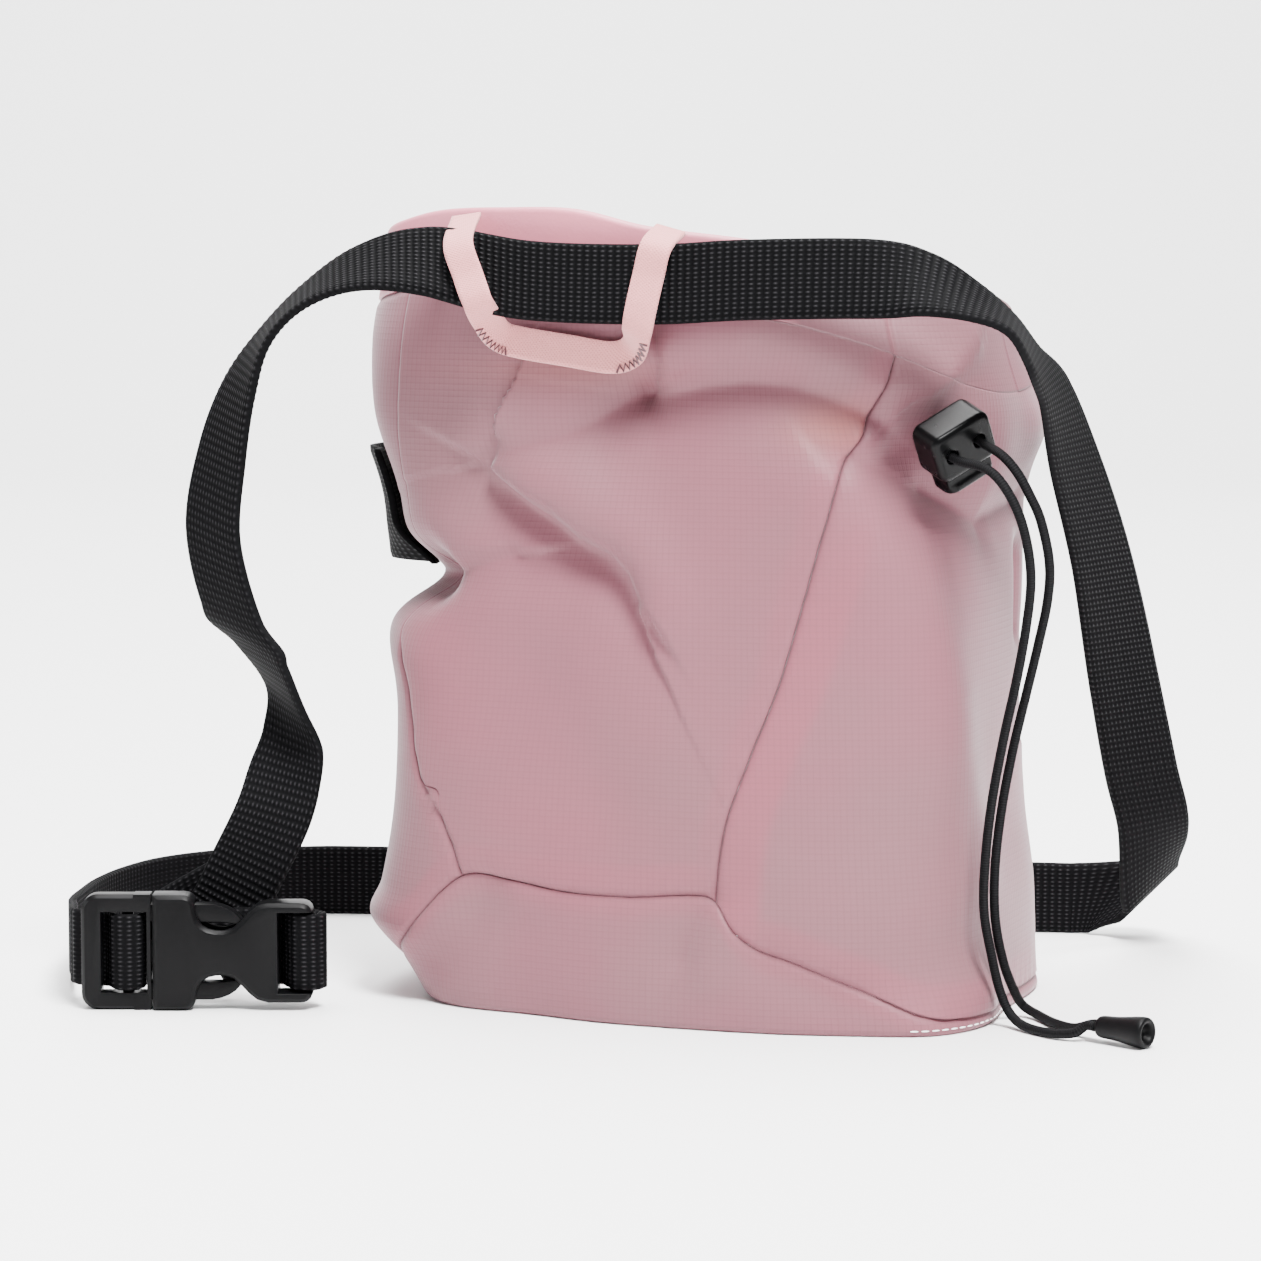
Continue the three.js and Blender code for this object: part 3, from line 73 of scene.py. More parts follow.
class BagSizes(bpy.types.PropertyGroup):
    """Sizes of the chalk bag."""

    width: length("Bag width", "Width that the body's sections are shares of", 0.136)
    depth: length("Bag depth", "Depth that the body's sections are shares of", 0.092)
    height: length("Bag height", "Height of the rim's highest point", 0.170)
    cloth: length("Cloth", "Thickness of the cloth walls", 0.0015)
    rim_height: length("Rim height", "Height of the coated band round the mouth", 0.016)
    rim_thick: length("Rim thickness", "Thickness of the coated band", 0.0026)
    seam_rise: length("Base seam", "Height of the base's seam at the front", 0.0285)
    webbing_width: length("Webbing width", "Width of the waist belt", 0.0165)
    webbing_thick: length("Webbing thickness", "Thickness of the waist belt", 0.0015)
    rib_pitch: length("Rib pitch", "Distance between the webbing's ribs", 0.0017)
    rib_height: length("Rib height", "How far the webbing's ribs stand up", 0.00016)
    tape_width: length("Tape width", "Width of the belt loop's tape", 0.0068)
    tape_thick: length("Tape thickness", "Thickness of the belt loop's tape", 0.0009)
    brush_width: length("Brush loop width", "Width of the brush loop's band", 0.025)
    cord: length("Cord diameter", "Diameter of the drawcord", 0.002)
    ripstop: length("Ripstop pitch", "Distance between the cloth's heavier threads", 0.0013)
    stitch: length("Stitch length", "Length of one stitch", 0.0018)


class BagColours(bpy.types.PropertyGroup):
    """Colours of the chalk bag."""

    cloth: tint("Cloth", "Colour of the ripstop cloth", (0.178, 0.058, 0.078))
    cloth_grey: tint(
        "Cloth, standing off", "Where the cloth stands off its backing", (0.163, 0.067, 0.081)
    )
    cloth_warm: tint("Cloth, doubled", "Where the cloth is doubled at the seams", (0.205, 0.053, 0.076))
    coral: tint("Coral", "Where the backing shines through the cloth", (0.25, 0.072, 0.066))
    rim: tint("Rim", "Colour of the coated band", (0.56, 0.175, 0.230))
    tape: tint("Tape", "Colour of the belt loop", (0.60, 0.215, 0.215))
    tack: tint("Bartacks", "Colour of the bartack thread", (0.06, 0.012, 0.020))
    webbing: tint("Webbing", "Colour of the webbing", (0.0016, 0.0016, 0.0019))
    plastic: tint("Plastic", "Colour of the buckle and the cord lock", (0.0013, 0.0013, 0.0015))
    cord: tint("Cord", "Colour of the drawcord", (0.0016, 0.0016, 0.0018))


# Tables


def table(names, *rows):
    """A short table, as one array for each of its named columns."""
    return dict(zip(names.split(), np.array(rows, float).T))


# The body's cross sections. height is a share of the bag's height, right and left are shares of
# half its width, front and back of half its depth, and square is the exponent of the outline.
SECTIONS = table(
    "height right left front back square",
    (0.00, 1.03, 0.83, 1.20, 0.95, 3.5),
    (0.05, 1.02, 0.92, 1.20, 0.97, 3.5),
    (0.10, 1.01, 1.035, 1.19, 0.99, 3.6),
    (0.145, 1.00, 0.99, 1.18, 1.00, 3.7),
    (0.24, 0.97, 0.95, 1.15, 1.02, 3.7),
    (0.36, 0.975, 0.95, 1.12, 1.03, 3.6),
    (0.50, 0.975, 0.975, 1.09, 1.03, 3.4),
    (0.62, 0.995, 0.965, 1.07, 1.02, 3.2),
    (0.73, 1.03, 1.045, 1.05, 1.01, 3.0),
    (0.83, 0.965, 1.085, 1.02, 1.00, 2.8),
    (0.93, 0.915, 1.055, 0.99, 0.99, 2.6),
    (1.00, 0.91, 1.05, 0.97, 0.98, 2.5),
)

# The rim's height round the mouth, as a share of the bag's height, by angle from +X
RIM_HEIGHTS = table(
    "angle height",
    (0, 0.865), (45, 0.905), (90, 0.945), (150, 0.963), (190, 0.970), (204, 0.983), (217, 0.997),
    (232, 1.0), (250, 0.998), (270, 0.978), (303, 0.957), (320, 0.928), (340, 0.878),
)

# The base's seam, as a share of its rise at the front
BASE_SEAM = table(
    "angle height",
    (0, 0.11), (90, 0.11), (180, 0.12), (200, 0.17), (212, 0.32), (221, 0.54), (228, 0.88),
    (233, 1.03), (240, 1.02), (254, 0.955), (270, 0.945), (286, 0.98), (290, 0.93), (293, 0.75),
    (298, 0.61), (304, 0.53), (312, 0.39), (318, 0.275), (323, 0.16), (328, 0.11),
)

# The two front seams: the angle at which each stands, by share of the bag's height
RIGHT_SEAM = table(
    "height angle",
    (0.00, 290), (0.16, 290), (0.25, 291.8), (0.33, 296.5), (0.42, 302.5), (0.52, 307.2),
    (0.62, 311), (0.68, 314), (0.74, 320), (0.80, 323.5), (0.86, 327.5), (1.00, 330),
)
LEFT_SEAM = table(
    "height angle",
    (0.00, 232), (0.17, 232), (0.23, 228.7), (0.29, 221.5), (0.34, 218.6), (0.40, 217),
    (0.50, 213), (0.80, 212), (1.00, 212),
)
BACK_SEAM = 450

# Folds and dents. Each follows a line of places, given by angle and share of the bag's height.
# A soft one is a rounded wave, and a crease comes to an edge. rise is its height, above and below
# are how far it reaches on the two sides of its line, all as shares of the bag's height. above is
# the left hand of one who follows the line.
FOLDS = [
    ("right front foot", "soft", 0.026, 0.05, 0.05, (326, 0.00), (337, 0.03)),
    ("left front foot", "soft", -0.024, 0.09, 0.09, (243, 0.00), (240, 0.08)),
    (
        "main crease", "crease", -0.030, 0.021, 0.070,
        (233, 0.712), (230.5, 0.676), (234.5, 0.652), (240.5, 0.628), (247, 0.608),
        (253.5, 0.584), (263.5, 0.568), (267.5, 0.548), (270, 0.520),
    ),
    (
        "main crease's bank", "soft", 0.022, 0.065, 0.021,
        (232, 0.684), (241, 0.660), (249.5, 0.640), (255.5, 0.616), (263, 0.592),
        (269.5, 0.560), (273.5, 0.520),
    ),
    (
        "rising line", "crease", -0.021, 0.030, 0.053,
        (231.5, 0.688), (243, 0.708), (249, 0.716), (256.5, 0.736), (263, 0.760), (268.5, 0.772),
    ),
    ("above the apex", "soft", 0.007, 0.024, 0.047, (233.5, 0.824), (234.5, 0.764), (234.5, 0.72)),
    (
        "wave line", "crease", -0.031, 0.053, 0.059,
        (268.5, 0.772), (274, 0.768), (286, 0.780), (298, 0.788), (307.5, 0.784),
        (313.5, 0.772), (320.5, 0.748), (326, 0.728),
    ),
    (
        "wave's bank", "soft", 0.019, 0.047, 0.047,
        (277, 0.832), (286, 0.844), (297.5, 0.848), (307.5, 0.836), (316.5, 0.812), (322, 0.784),
    ),
    ("tape fold", "crease", -0.014, 0.0147, 0.0147, (273.5, 0.844), (273.5, 0.808), (271, 0.776)),
    ("left notch", "soft", -0.058, 0.038, 0.036, (184, 0.532), (216, 0.54)),
    (
        "notch into the front", "soft", -0.016, 0.016, 0.05,
        (214, 0.545), (224, 0.543), (237, 0.566),
    ),
    ("left shoulder", "soft", 0.008, 0.06, 0.05, (204, 0.74), (220, 0.63)),
    ("left lower bulge", "soft", 0.010, 0.05, 0.05, (205, 0.46), (220, 0.44)),
    ("left ridge", "soft", 0.007, 0.047, 0.059, (237, 0.516), (250, 0.504), (265, 0.496)),
    (
        "left valley", "soft", -0.006, 0.06, 0.06,
        (216, 0.500), (238, 0.468), (253, 0.372), (263, 0.288),
    ),
    ("lobe beside the seam", "soft", 0.0176, 0.026, 0.026, (320, 0.720), (325, 0.732)),
    ("lock hollow", "soft", -0.028, 0.055, 0.055, (330, 0.72), (338, 0.69)),
    ("lock's ridge", "crease", 0.014, 0.047, 0.0147, (331.5, 0.776), (337.5, 0.804), (344, 0.832)),
    (
        "v fold", "crease", -0.026, 0.035, 0.041,
        (333, 0.656), (340, 0.636), (348.5, 0.612), (354.5, 0.620), (371, 0.628),
    ),
    (
        "corner ridge", "soft", 0.018, 0.047, 0.070,
        (314, 0.652), (319, 0.592), (324.5, 0.540), (329, 0.472), (332.5, 0.404),
        (334, 0.328), (339, 0.248), (342, 0.196),
    ),
    ("side slit", "soft", -0.022, 0.024, 0.024, (374, 0.555), (374, 0.475)),
    ("soft front dent", "soft", -0.008, 0.07, 0.07, (238, 0.39), (250, 0.49)),
    ("front belly", "soft", 0.010, 0.10, 0.10, (268, 0.38), (285, 0.30)),
    (
        "base crease", "crease", -0.020, 0.024, 0.030,
        (290, 0.160), (286.5, 0.136), (284, 0.112), (282.5, 0.084),
    ),
    ("base crease's bank", "soft", 0.009, 0.03, 0.03, (291.5, 0.144), (288, 0.108), (286, 0.076)),
    ("base corner dent", "soft", -0.010, 0.03, 0.03, (236, 0.15), (231, 0.10), (226, 0.06)),
    ("right base dent", "soft", -0.008, 0.03, 0.03, (300, 0.085), (310, 0.05)),
    ("back hollow", "soft", -0.020, 0.09, 0.09, (70, 0.55), (110, 0.48)),
    ("back ridge", "soft", 0.010, 0.06, 0.05, (60, 0.66), (92, 0.70), (120, 0.70)),
    ("back crease", "crease", -0.012, 0.016, 0.05, (62, 0.60), (80, 0.63), (104, 0.60)),
    ("back low crease", "crease", -0.010, 0.05, 0.016, (120, 0.24), (98, 0.20), (72, 0.22)),
    ("left hollow", "soft", -0.014, 0.07, 0.07, (150, 0.36), (175, 0.30)),
    ("left crease", "crease", -0.010, 0.016, 0.05, (128, 0.42), (150, 0.40), (172, 0.44)),
    ("right hollow", "soft", -0.014, 0.08, 0.08, (30, 0.40), (50, 0.32)),
    ("right crease", "crease", -0.010, 0.05, 0.016, (25, 0.30), (44, 0.26), (60, 0.29)),
    ("right shoulder", "soft", 0.010, 0.04, 0.04, (8, 0.72), (40, 0.76)),
]

# The belt's places. Rows with x, y, z are shares of half the bag's width, half its depth and its
# height; rows at the buckle are along and back as shares of the webbing's width and height as a
# share of the buckle's. turn and tilt point across the belt. ribs is how strongly its ribs show.
BELT_AT_BUCKLE = "along height back turn tilt ribs"
BELT_START = table(
    BELT_AT_BUCKLE,
    (0.76, 0.50, 0.33, 200, 90, 1),
    (0.99, 0.50, 0.30, 200, 90, 1),
    (1.10, 0.50, 0.04, 200, 90, 1),
    (1.24, 0.50, -0.15, 200, 90, 1),
    (1.43, 0.50, -0.13, 200, 90, 1),
    (1.53, 0.50, 0.02, 200, 90, 1),
    (1.43, 0.50, 0.22, 200, 90, 1),
    (1.18, 0.50, 0.40, 200, 90, 1),
    (0.73, 0.50, 0.46, 200, 90, 1),
    (0.39, 0.49, 0.47, 200, 88, 1),
    (0.10, 0.49, 0.475, 200, 58, 1),
    (-0.03, 0.48, 0.55, 200, 58, 1),
    (-0.02, 0.56, 0.62, 200, 58, 1),
    (0.25, 0.81, 0.63, 200, 30, 1),
    (0.50, 1.14, 0.63, 200, 26, 1),
)
BELT_ROUND = table(
    "x y z turn tilt ribs",
    (-1.205, -1.12, 0.234, 198, 17, 1.0),
    (-1.182, -1.05, 0.285, 184, 14, 0.9),
    (-1.168, -1.00, 0.332, 160, 14, 0.45),
    (-1.196, -1.00, 0.383, 139, 12, 0.25),
    (-1.28, -1.00, 0.437, 146, 11, 0.25),
    (-1.376, -1.00, 0.486, 158, 12, 0.3),
    (-1.434, -1.02, 0.589, 158, 16, 0.6),
    (-1.394, -1.04, 0.69, 150, 13, 0.9),
    (-1.328, -1.06, 0.772, 136, 10, 1.0),
    (-1.235, -1.08, 0.836, 120, 7, 1.0),
    (-1.097, -1.09, 0.888, 114, 13, 1.0),
    (-0.91, -1.10, 0.924, 114, 30, 1.0),
    (-0.68, -1.11, 0.933, 112, 54, 1.0),
    (-0.332, -1.14, 0.911, 105, 80, 1.0),
    (0.07, -1.14, 0.907, 100, 84, 1.0),
    (0.372, -1.14, 0.913, 98, 84, 1.0),
    (0.738, -1.09, 0.915, 96, 76, 1.0),
    (0.922, -1.055, 0.908, 95, 46, 1.0),
    (1.06, -0.99, 0.886, 98, 22, 0.7),
    (1.145, -0.88, 0.86, 102, 9, 0.4),
    (1.18, -0.69, 0.82, 100, 8, 0.3),
    (1.203, -0.43, 0.775, 90, 7, 0.3),
    (1.205, -0.065, 0.686, 77, 3, 0.4),
    (1.212, 0.435, 0.549, 65, 3, 0.9),
    (1.20, 0.98, 0.378, 42, 6, 0.9),
    (1.205, 1.304, 0.256, 24, 9, 0.5),
    (1.215, 1.52, 0.175, 20, 14, 0.3),
    (1.165, 1.80, 0.092, 20, 42, 0.3),
    (1.13, 1.935, 0.066, 20, 45, 0.4),
    (1.03, 2.02, 0.055, 20, 50, 0.6),
    (0.88, 2.00, 0.0495, 20, 84, 0.9),
    (0.70, 1.94, 0.0493, 20, 90, 1.0),
    (-0.37, 1.64, 0.0493, 20, 90, 1.0),
    (-1.53, 1.32, 0.0493, 20, 90, 1.0),
    (-1.83, 1.16, 0.0493, 20, 90, 0.8),
    (-2.04, 0.93, 0.0493, 20, 90, 0.4),
    (-2.16, 0.59, 0.0493, 20, 90, 0.3),
    (-2.18, 0.20, 0.0495, 20, 90, 0.3),
    (-2.145, -0.19, 0.05, 20, 90, 0.4),
    (-2.07, -0.56, 0.053, 20, 90, 0.8),
    (-1.975, -0.94, 0.059, 20, 90, 1.0),
    (-1.86, -1.26, 0.067, 20, 90, 1.0),
)
BELT_END = table(
    BELT_AT_BUCKLE,
    (-1.70, 0.50, 0.34, 20, 90, 1),
    (-1.47, 0.50, 0.245, 20, 90, 1),
    (-1.26, 0.50, 0.175, 20, 90, 1),
    (-1.175, 0.50, 0.03, 20, 90, 1),
    (-1.12, 0.50, -0.09, 20, 90, 1),
    (-0.98, 0.50, -0.145, 20, 90, 1),
    (-0.835, 0.50, -0.085, 20, 90, 1),
    (-0.81, 0.50, 0.12, 20, 90, 1),
    (-0.77, 0.52, 0.41, 20, 90, 1),
    (-0.66, 0.56, 0.68, 200, 84, 1),
    (-0.36, 0.68, 0.82, 200, 74, 0.6),
    (0.15, 0.87, 0.84, 200, 70, 0.6),
)

# The belt loop's tape: x is a share of half the bag's width and z of its height. off is 0 on the
# wall and 1 in front of the belt. lean turns the tape's width from +X towards +Z.
TAPE_ROWS = table(
    "x z off lean",
    (-0.59, 0.989, 0.1, 8),
    (-0.558, 0.956, 0.85, 9),
    (-0.509, 0.917, 1.1, 14),
    (-0.465, 0.885, 1.34, 20),
    (-0.460, 0.862, 0.85, 34),
    (-0.444, 0.842, 0.3, 60),
    (-0.387, 0.834, 0.14, 82),
    (-0.229, 0.825, 0.12, 84),
    (-0.089, 0.817, 0.14, 86),
    (-0.017, 0.826, 0.2, 122),
    (0.030, 0.848, 0.95, 150),
    (0.052, 0.878, 1.14, 162),
    (0.071, 0.916, 1.02, 166),
    (0.095, 0.953, 0.98, 165),
    (0.104, 0.973, 0.1, 165),
)

BUCKLE = {"x": -91.3 * MM, "y": -66.3 * MM, "turn": 20, "height": 24.8 * MM}
LOCK = {"at": (64.4, -34.6, 122.3), "face": (0.756, -0.555, -0.35), "press": (0.42, 0.25, -0.87)}
LOCK_HOLES = {"spacing": 6.8, "deep": 9.0}
BELL = {"at": (97.2, -38.6, 3.3), "turn": -21, "cord_apart": 0.15}

# The bell's outline with the dimple in its wide end, in millimetres
BELL_OUTLINE = table(
    "along radius",
    (0.3, 0.0), (0.05, 1.2), (0.0, 1.6), (0.15, 2.1), (0.8, 2.32), (2.0, 2.38), (4.2, 2.45),
    (6.5, 2.75), (8.4, 3.05), (10.2, 3.25), (11.2, 3.28), (11.75, 3.1), (12.0, 2.7),
    (11.9, 2.2), (11.3, 1.7), (10.2, 1.5), (9.6, 0.0),
)

# The brush loop's band: the angle where it starts and the angle it spans, its lower edge as a share
# of the bag's height, the share of its length sewn down at each end, how far its bulge leans towards
# the front, how much of the wall's dents it bridges, and in metres how far it bulges and stands off
# and how thick it is
BRUSH_BAND = {
    "from": 149, "turn": 53, "low": 0.545, "tab": 0.1, "lean": 1.5, "bridge": 0.95,
    "bulge": 6.2 * MM, "stand": 1.2 * MM, "thick": 1.6 * MM,
}

# The tinted patches of the front: angle and share of the height of the middle, half width and half
# height in metres, and strength
CORAL_PATCHES = [(315, 0.735, 9 * MM, 5 * MM, 0.75), (250, 0.80, 22 * MM, 4 * MM, 0.35)]
PINK_PATCHES = [(222, 0.40, 14 * MM, 26 * MM, 0.6), (250, 0.24, 40 * MM, 14 * MM, 0.35)]

# Gaps between two panels' edges and their seam, and between the tape and what it lies on
SEAM_GAP = 0.12 * MM
SEAT_GAP = 0.3 * MM

# The cloth at a seam: how deep its edge dips, in millimetres, and in metres the widths of the dip
# and of the painted shade that darkens its crease
SEAM_DIP = 0.55
DIP_WIDTH = 0.9 * MM
SEAM_SHADE_WIDTH = 0.45 * MM

# Sewing, in metres: the box of stitches on the belt, the row at the base's edge, and the bartacks
# with the rows and the edges of the tape between which they run
BOX_THREAD = {"thick": 0.0002, "pitch": 0.0021}
EDGE_THREAD = {"thick": 0.00019, "pitch": 0.0023}
TACKS = {
    "rows": ((4.0, 5.6), (8.2, 9.9)), "edges": (-0.95, -0.5), "turns": 8,
    "lift": 0.12 * MM, "thick": 0.00026,
}

# Moulded pieces, in degrees: faces flatter than the first are joined, corners sharper than the
# second are bevelled, and those sharper than the third stay sharp in the shading
FLAT_ANGLE, BEVEL_ANGLE, SHARP_ANGLE = 1.5, 35, 50

# How far before the bag's middle the belt crosses its front, as a share of half the bag's depth
BELT_STAND = 1.14

# The stage: its lamps with their name, place, aim, power in watts and size in metres, the strength
# of the sky, the camera and the floor that curves up into a backdrop
LAMPS = [
    ("key", (0.50, -0.55, 1.30), (0, 0, 0.08), 84, 0.4),
    ("top", (-0.15, 0.15, 1.5), (0, 0, 0), 72, 1.0),
    ("fill", (-1.2, -0.6, 0.5), (0, 0, 0.08), 5, 0.8),
    ("back", (-0.6, 1.1, 1.9), (-1.0, 2.8, 0.7), 130, 1.2),
]
SKY = 0.36
CAMERA = {"place": (0.310, -0.9035, 0.170), "down": 5.51, "turn": 20, "focal_pixels": 4390}
FLOOR = {"near": -3.0, "reach": 3.0, "bend": 1.2, "high": 4.0, "half": 4.0}

# Paler greys on the black pieces
# GLINT paints highlights on the webbing: its glints at the rib tops are mixed towards it
GLINT = (0.032, 0.031, 0.034, 1)
FLUFF = (0.008, 0.0078, 0.0085, 1)
FIRM_EDGE = (0.006, 0.006, 0.0065, 1)
BRAID = (0.014, 0.0138, 0.015, 1)
# painted highlight on the plastic's edges
EDGE_HIGHLIGHT = (0.012, 0.012, 0.013, 1)

# The two strands below the lock, in millimetres, down to the bell
OUTER_ROUTE = [
    (76.6, -42.0, 119.9), (80.0, -43.0, 116.6), (82.6, -42.6, 112.0), (84.6, -41.0, 106.6),
    (85.8, -38.6, 98.0), (84.8, -36.0, 90.0), (82.0, -33.0, 80.0), (78.8, -30.5, 69.0),
    (76.0, -29.5, 58.0), (73.8, -29.5, 46.0), (72.6, -30.0, 34.0), (72.4, -29.0, 23.0),
    (73.4, -26.2, 13.5), (74.6, -21.6, 6.5), (75.4, -17.2, 2.6), (79.6, -20.0, 1.2),
    (85.1, -27.6, 1.2), (90.6, -33.4, 1.6),
]
INNER_ROUTE = [
    (73.6, -44.4, 117.4), (77.6, -46.0, 114.6), (80.8, -45.4, 109.0), (82.4, -43.4, 102.0),
    (82.6, -41.0, 94.0), (80.8, -38.0, 84.0), (78.2, -35.4, 73.0), (75.2, -33.8, 61.0),
    (72.8, -33.6, 48.0), (71.6, -34.0, 36.0), (71.2, -33.4, 25.0), (72.5, -31.6, 15.0),
    (73.8, -29.6, 7.5), (76.2, -29.8, 2.8), (80.6, -33.8, 1.2), (87.4, -38.6, 1.2),
    (92.2, -39.6, 1.8),
]


# The bag's surface


def read(rows, key, at, column, closes=False):
    """Smooth value between a table's rows; a table of angles may close on itself after 360."""
    x, y = rows[key], rows[column]
    at = np.asarray(at, float)
    if closes:
        at = at % 360
        x = np.concatenate([x[-2:] - 360, x, x[:3] + 360])
        y = np.concatenate([y[-2:], y, y[:3]])
    else:
        x = np.concatenate([x[:1], x, x[-1:]])
        y = np.concatenate([y[:1], y, y[-1:]])
    i = np.clip(np.searchsorted(x, at, side="right") - 1, 1, len(x) - 3)
    run = x[i + 1] - x[i]
    t = np.clip((at - x[i]) / run, 0, 1)
    before = (y[i + 1] - y[i - 1]) / (x[i + 1] - x[i - 1])
    after = (y[i + 2] - y[i]) / (x[i + 2] - x[i])
    return (
        (2 * t**3 - 3 * t**2 + 1) * y[i]
        + (t**3 - 2 * t**2 + t) * before * run
        + (3 * t**2 - 2 * t**3) * y[i + 1]
        + (t**3 - t**2) * after * run
    )


class BagShape:
    """The bag's surface: where its walls, seams and rim are, in metres."""

    def __init__(self, sizes):
        self.sizes = sizes
        self.around = (sizes.width + sizes.depth) / 4
        angles = np.arange(0, 720.5, 0.5)
        points = self.wall(angles, np.full(angles.shape, 0.5 * sizes.height), folds=False)
        steps = np.linalg.norm(np.diff(points, axis=0), axis=1)
        self.arc_angles = angles
        self.arc = np.concatenate([[0], np.cumsum(steps)])

    def rim_top(self, angle):
        return self.sizes.height * read(RIM_HEIGHTS, "angle", angle, "height", closes=True)

    def wall_top(self, angle):
        return self.rim_top(angle) - self.sizes.rim_height

    def seam(self, angle):
        share = read(BASE_SEAM, "angle", angle, "height", closes=True)
        return np.maximum(self.sizes.seam_rise * share, 3 * MM)

    def radius(self, angle, z):
        level = np.clip(z / self.sizes.height, 0, 1)
        c, s = np.cos(np.radians(angle)), np.sin(np.radians(angle))
        column = {name: read(SECTIONS, "height", level, name) for name in SECTIONS}
        half_x = self.sizes.width / 2 * np.where(c > 0, column["right"], column["left"])
        half_y = self.sizes.depth / 2 * np.where(s > 0, column["back"], column["front"])
        n = column["square"]
        return (np.abs(c / half_x) ** n + np.abs(s / half_y) ** n) ** (-1 / n)

    def fold_rise(self, angle, z):
        """How far the folds move the cloth out or in."""
        high = self.sizes.height
        total = np.zeros(np.broadcast(angle, z).shape)
        for _, kind, rise, above, below, *places in FOLDS:
            first = places[0][0]
            turn = (np.asarray(angle) - first + 180) % 360 - 180
            x = np.radians(turn) * self.around
            px = [math.radians(place[0] - first) * self.around for place in places]
            pz = [place[1] * high for place in places]
            nearest = np.full(total.shape, 1e9)
            side = np.zeros(total.shape)
            for x0, z0, x1, z1 in zip(px, pz, px[1:], pz[1:]):
                run = math.hypot(x1 - x0, z1 - z0)
                dx, dz = (x1 - x0) / run, (z1 - z0) / run
                along = np.clip((x - x0) * dx + (z - z0) * dz, 0, run)
                ox, oz = x - x0 - along * dx, z - z0 - along * dz
                away = np.hypot(ox, oz)
                closer = away < nearest
                nearest = np.where(closer, away, nearest)
                side = np.where(closer, dx * oz - dz * ox, side)
            if kind == "soft":
                over = np.clip(side / (0.006 * high), -1, 1) / 2 + 0.5
                reach = high * (below + (above - below) * over)
                total += rise * high * np.exp(-((nearest / reach) ** 2))
            else:
                blunt = 0.005 * high
                reach = high * np.where(side > 0, above, below)
                total += rise * high * np.exp((blunt - np.hypot(nearest, blunt)) / reach)
        return total

    def wrinkles(self, angle, z):
        """Fine unevenness of the cloth, in metres."""
        x = np.radians(angle) * self.around / MM
        h = z / MM
        wander = 3 * np.sin(h / 21 + x / 37) + 2 * np.sin(x / 17 - h / 29)
        fine = np.sin((x + wander) / 4.3) * np.sin((h - wander) / 9.7 + 0.6)
        broad = np.sin((x - 2 * wander) / 15 + 1.1) * np.sin((h + wander) / 19 + 0.4)
        return (0.06 * fine + 0.28 * broad) * MM

    def wall(self, angle, z, outwards=0.0, folds=True):
        """Points on the wall, moved outwards."""
        r = self.radius(angle, z) + outwards
        if folds:
            r = r + self.fold_rise(angle, z) + self.wrinkles(angle, z)
        turn = np.radians(angle)
        return np.stack([r * np.cos(turn), r * np.sin(turn), np.broadcast_to(z, r.shape)], -1)

    def arc_length(self, angle):
        """Length round the bag at half its height, from +X."""
        return np.interp(np.asarray(angle) % 720, self.arc_angles, self.arc)


def fading(distance, width):
    """One at a line, and less the further from it."""
    return np.exp(-((distance / width) ** 2))


def right_side(angle):
    """1 where the band round the mouth is of ripstop cloth, at the right, and 0 elsewhere."""
    turn = np.asarray(angle, float) % 360
    return np.clip((turn - 298) / 10, 0, 1) + np.clip((46 - turn) / 10, 0, 1)


def fine_at_ends(count, edge, step):
    """Shares from 0 to 1, close together at both ends."""
    start = np.arange(0, edge, step)
    return np.concatenate([start, np.linspace(edge, 1 - edge, count), 1 - start[::-1]])


# Meshes


def linked(name, data):
    """A new object in the scene."""
    made = bpy.data.objects.new(name, data)
    bpy.context.scene.collection.objects.link(made)
    return made


def mesh_object(name, points, faces, uv=None, values=None, smooth=True):
    """A new object whose place is in its mesh, with its weave map and its named values."""
    mesh = bpy.data.meshes.new(name)
    corners = faces.tolist() if isinstance(faces, np.ndarray) else faces
    mesh.from_pydata(np.asarray(points).reshape(-1, 3).tolist(), [], corners)
    if uv is not None:
        corner = np.empty(len(mesh.loops), int)
        mesh.loops.foreach_get("vertex_index", corner)
        layer = mesh.uv_layers.new(name="weave")
        layer.data.foreach_set("uv", np.asarray(uv, float).reshape(-1, 2)[corner].ravel())
    for key, value in (values or {}).items():
        data = mesh.attributes.new(key, "FLOAT", "POINT").data
        data.foreach_set("value", np.asarray(value, float).ravel())
    mesh.polygons.foreach_set("use_smooth", [smooth] * len(mesh.polygons))
    mesh.update()
    return linked(name, mesh)


def keep_result(piece):
    """Keeps what a piece's modifiers make as its plain mesh."""
    evaluated = piece.evaluated_get(bpy.context.evaluated_depsgraph_get())
    mesh = bpy.data.meshes.new_from_object(evaluated)
    piece.modifiers.clear()
    piece.data = mesh
    return mesh


def grid_faces(rows, columns, start=0, closed_rows=False, closed_columns=False):
    """Quads of a grid of points that runs row by row."""
    i = np.arange(columns if closed_columns else columns - 1)
    j = np.arange(rows if closed_rows else rows - 1)
    j, i = np.meshgrid(j, i, indexing="ij")
    right, over = (i + 1) % columns, (j + 1) % rows
    corners = [j * columns + i, j * columns + right, over * columns + right, over * columns + i]
    return start + np.stack(corners, -1).reshape(-1, 4)


def closed_sheet(outer, inner):
    """Points and faces of a sheet with a thickness, from its two sides as grids of points."""
    rows, columns = outer.shape[:2]
    half = rows * columns
    front = grid_faces(rows, columns)
    back = grid_faces(rows, columns, half)[:, ::-1]
    grid = np.arange(half).reshape(rows, columns)
    rims = [grid[0], grid[1:, -1], grid[-1, -2::-1], grid[-2:0:-1, 0]]
    loop = np.concatenate(rims)
    follow = np.roll(loop, -1)
    edge = np.stack([follow, loop, loop + half, follow + half], -1)
    points = np.concatenate([outer.reshape(-1, 3), inner.reshape(-1, 3)])
    return points, np.concatenate([front, back, edge])


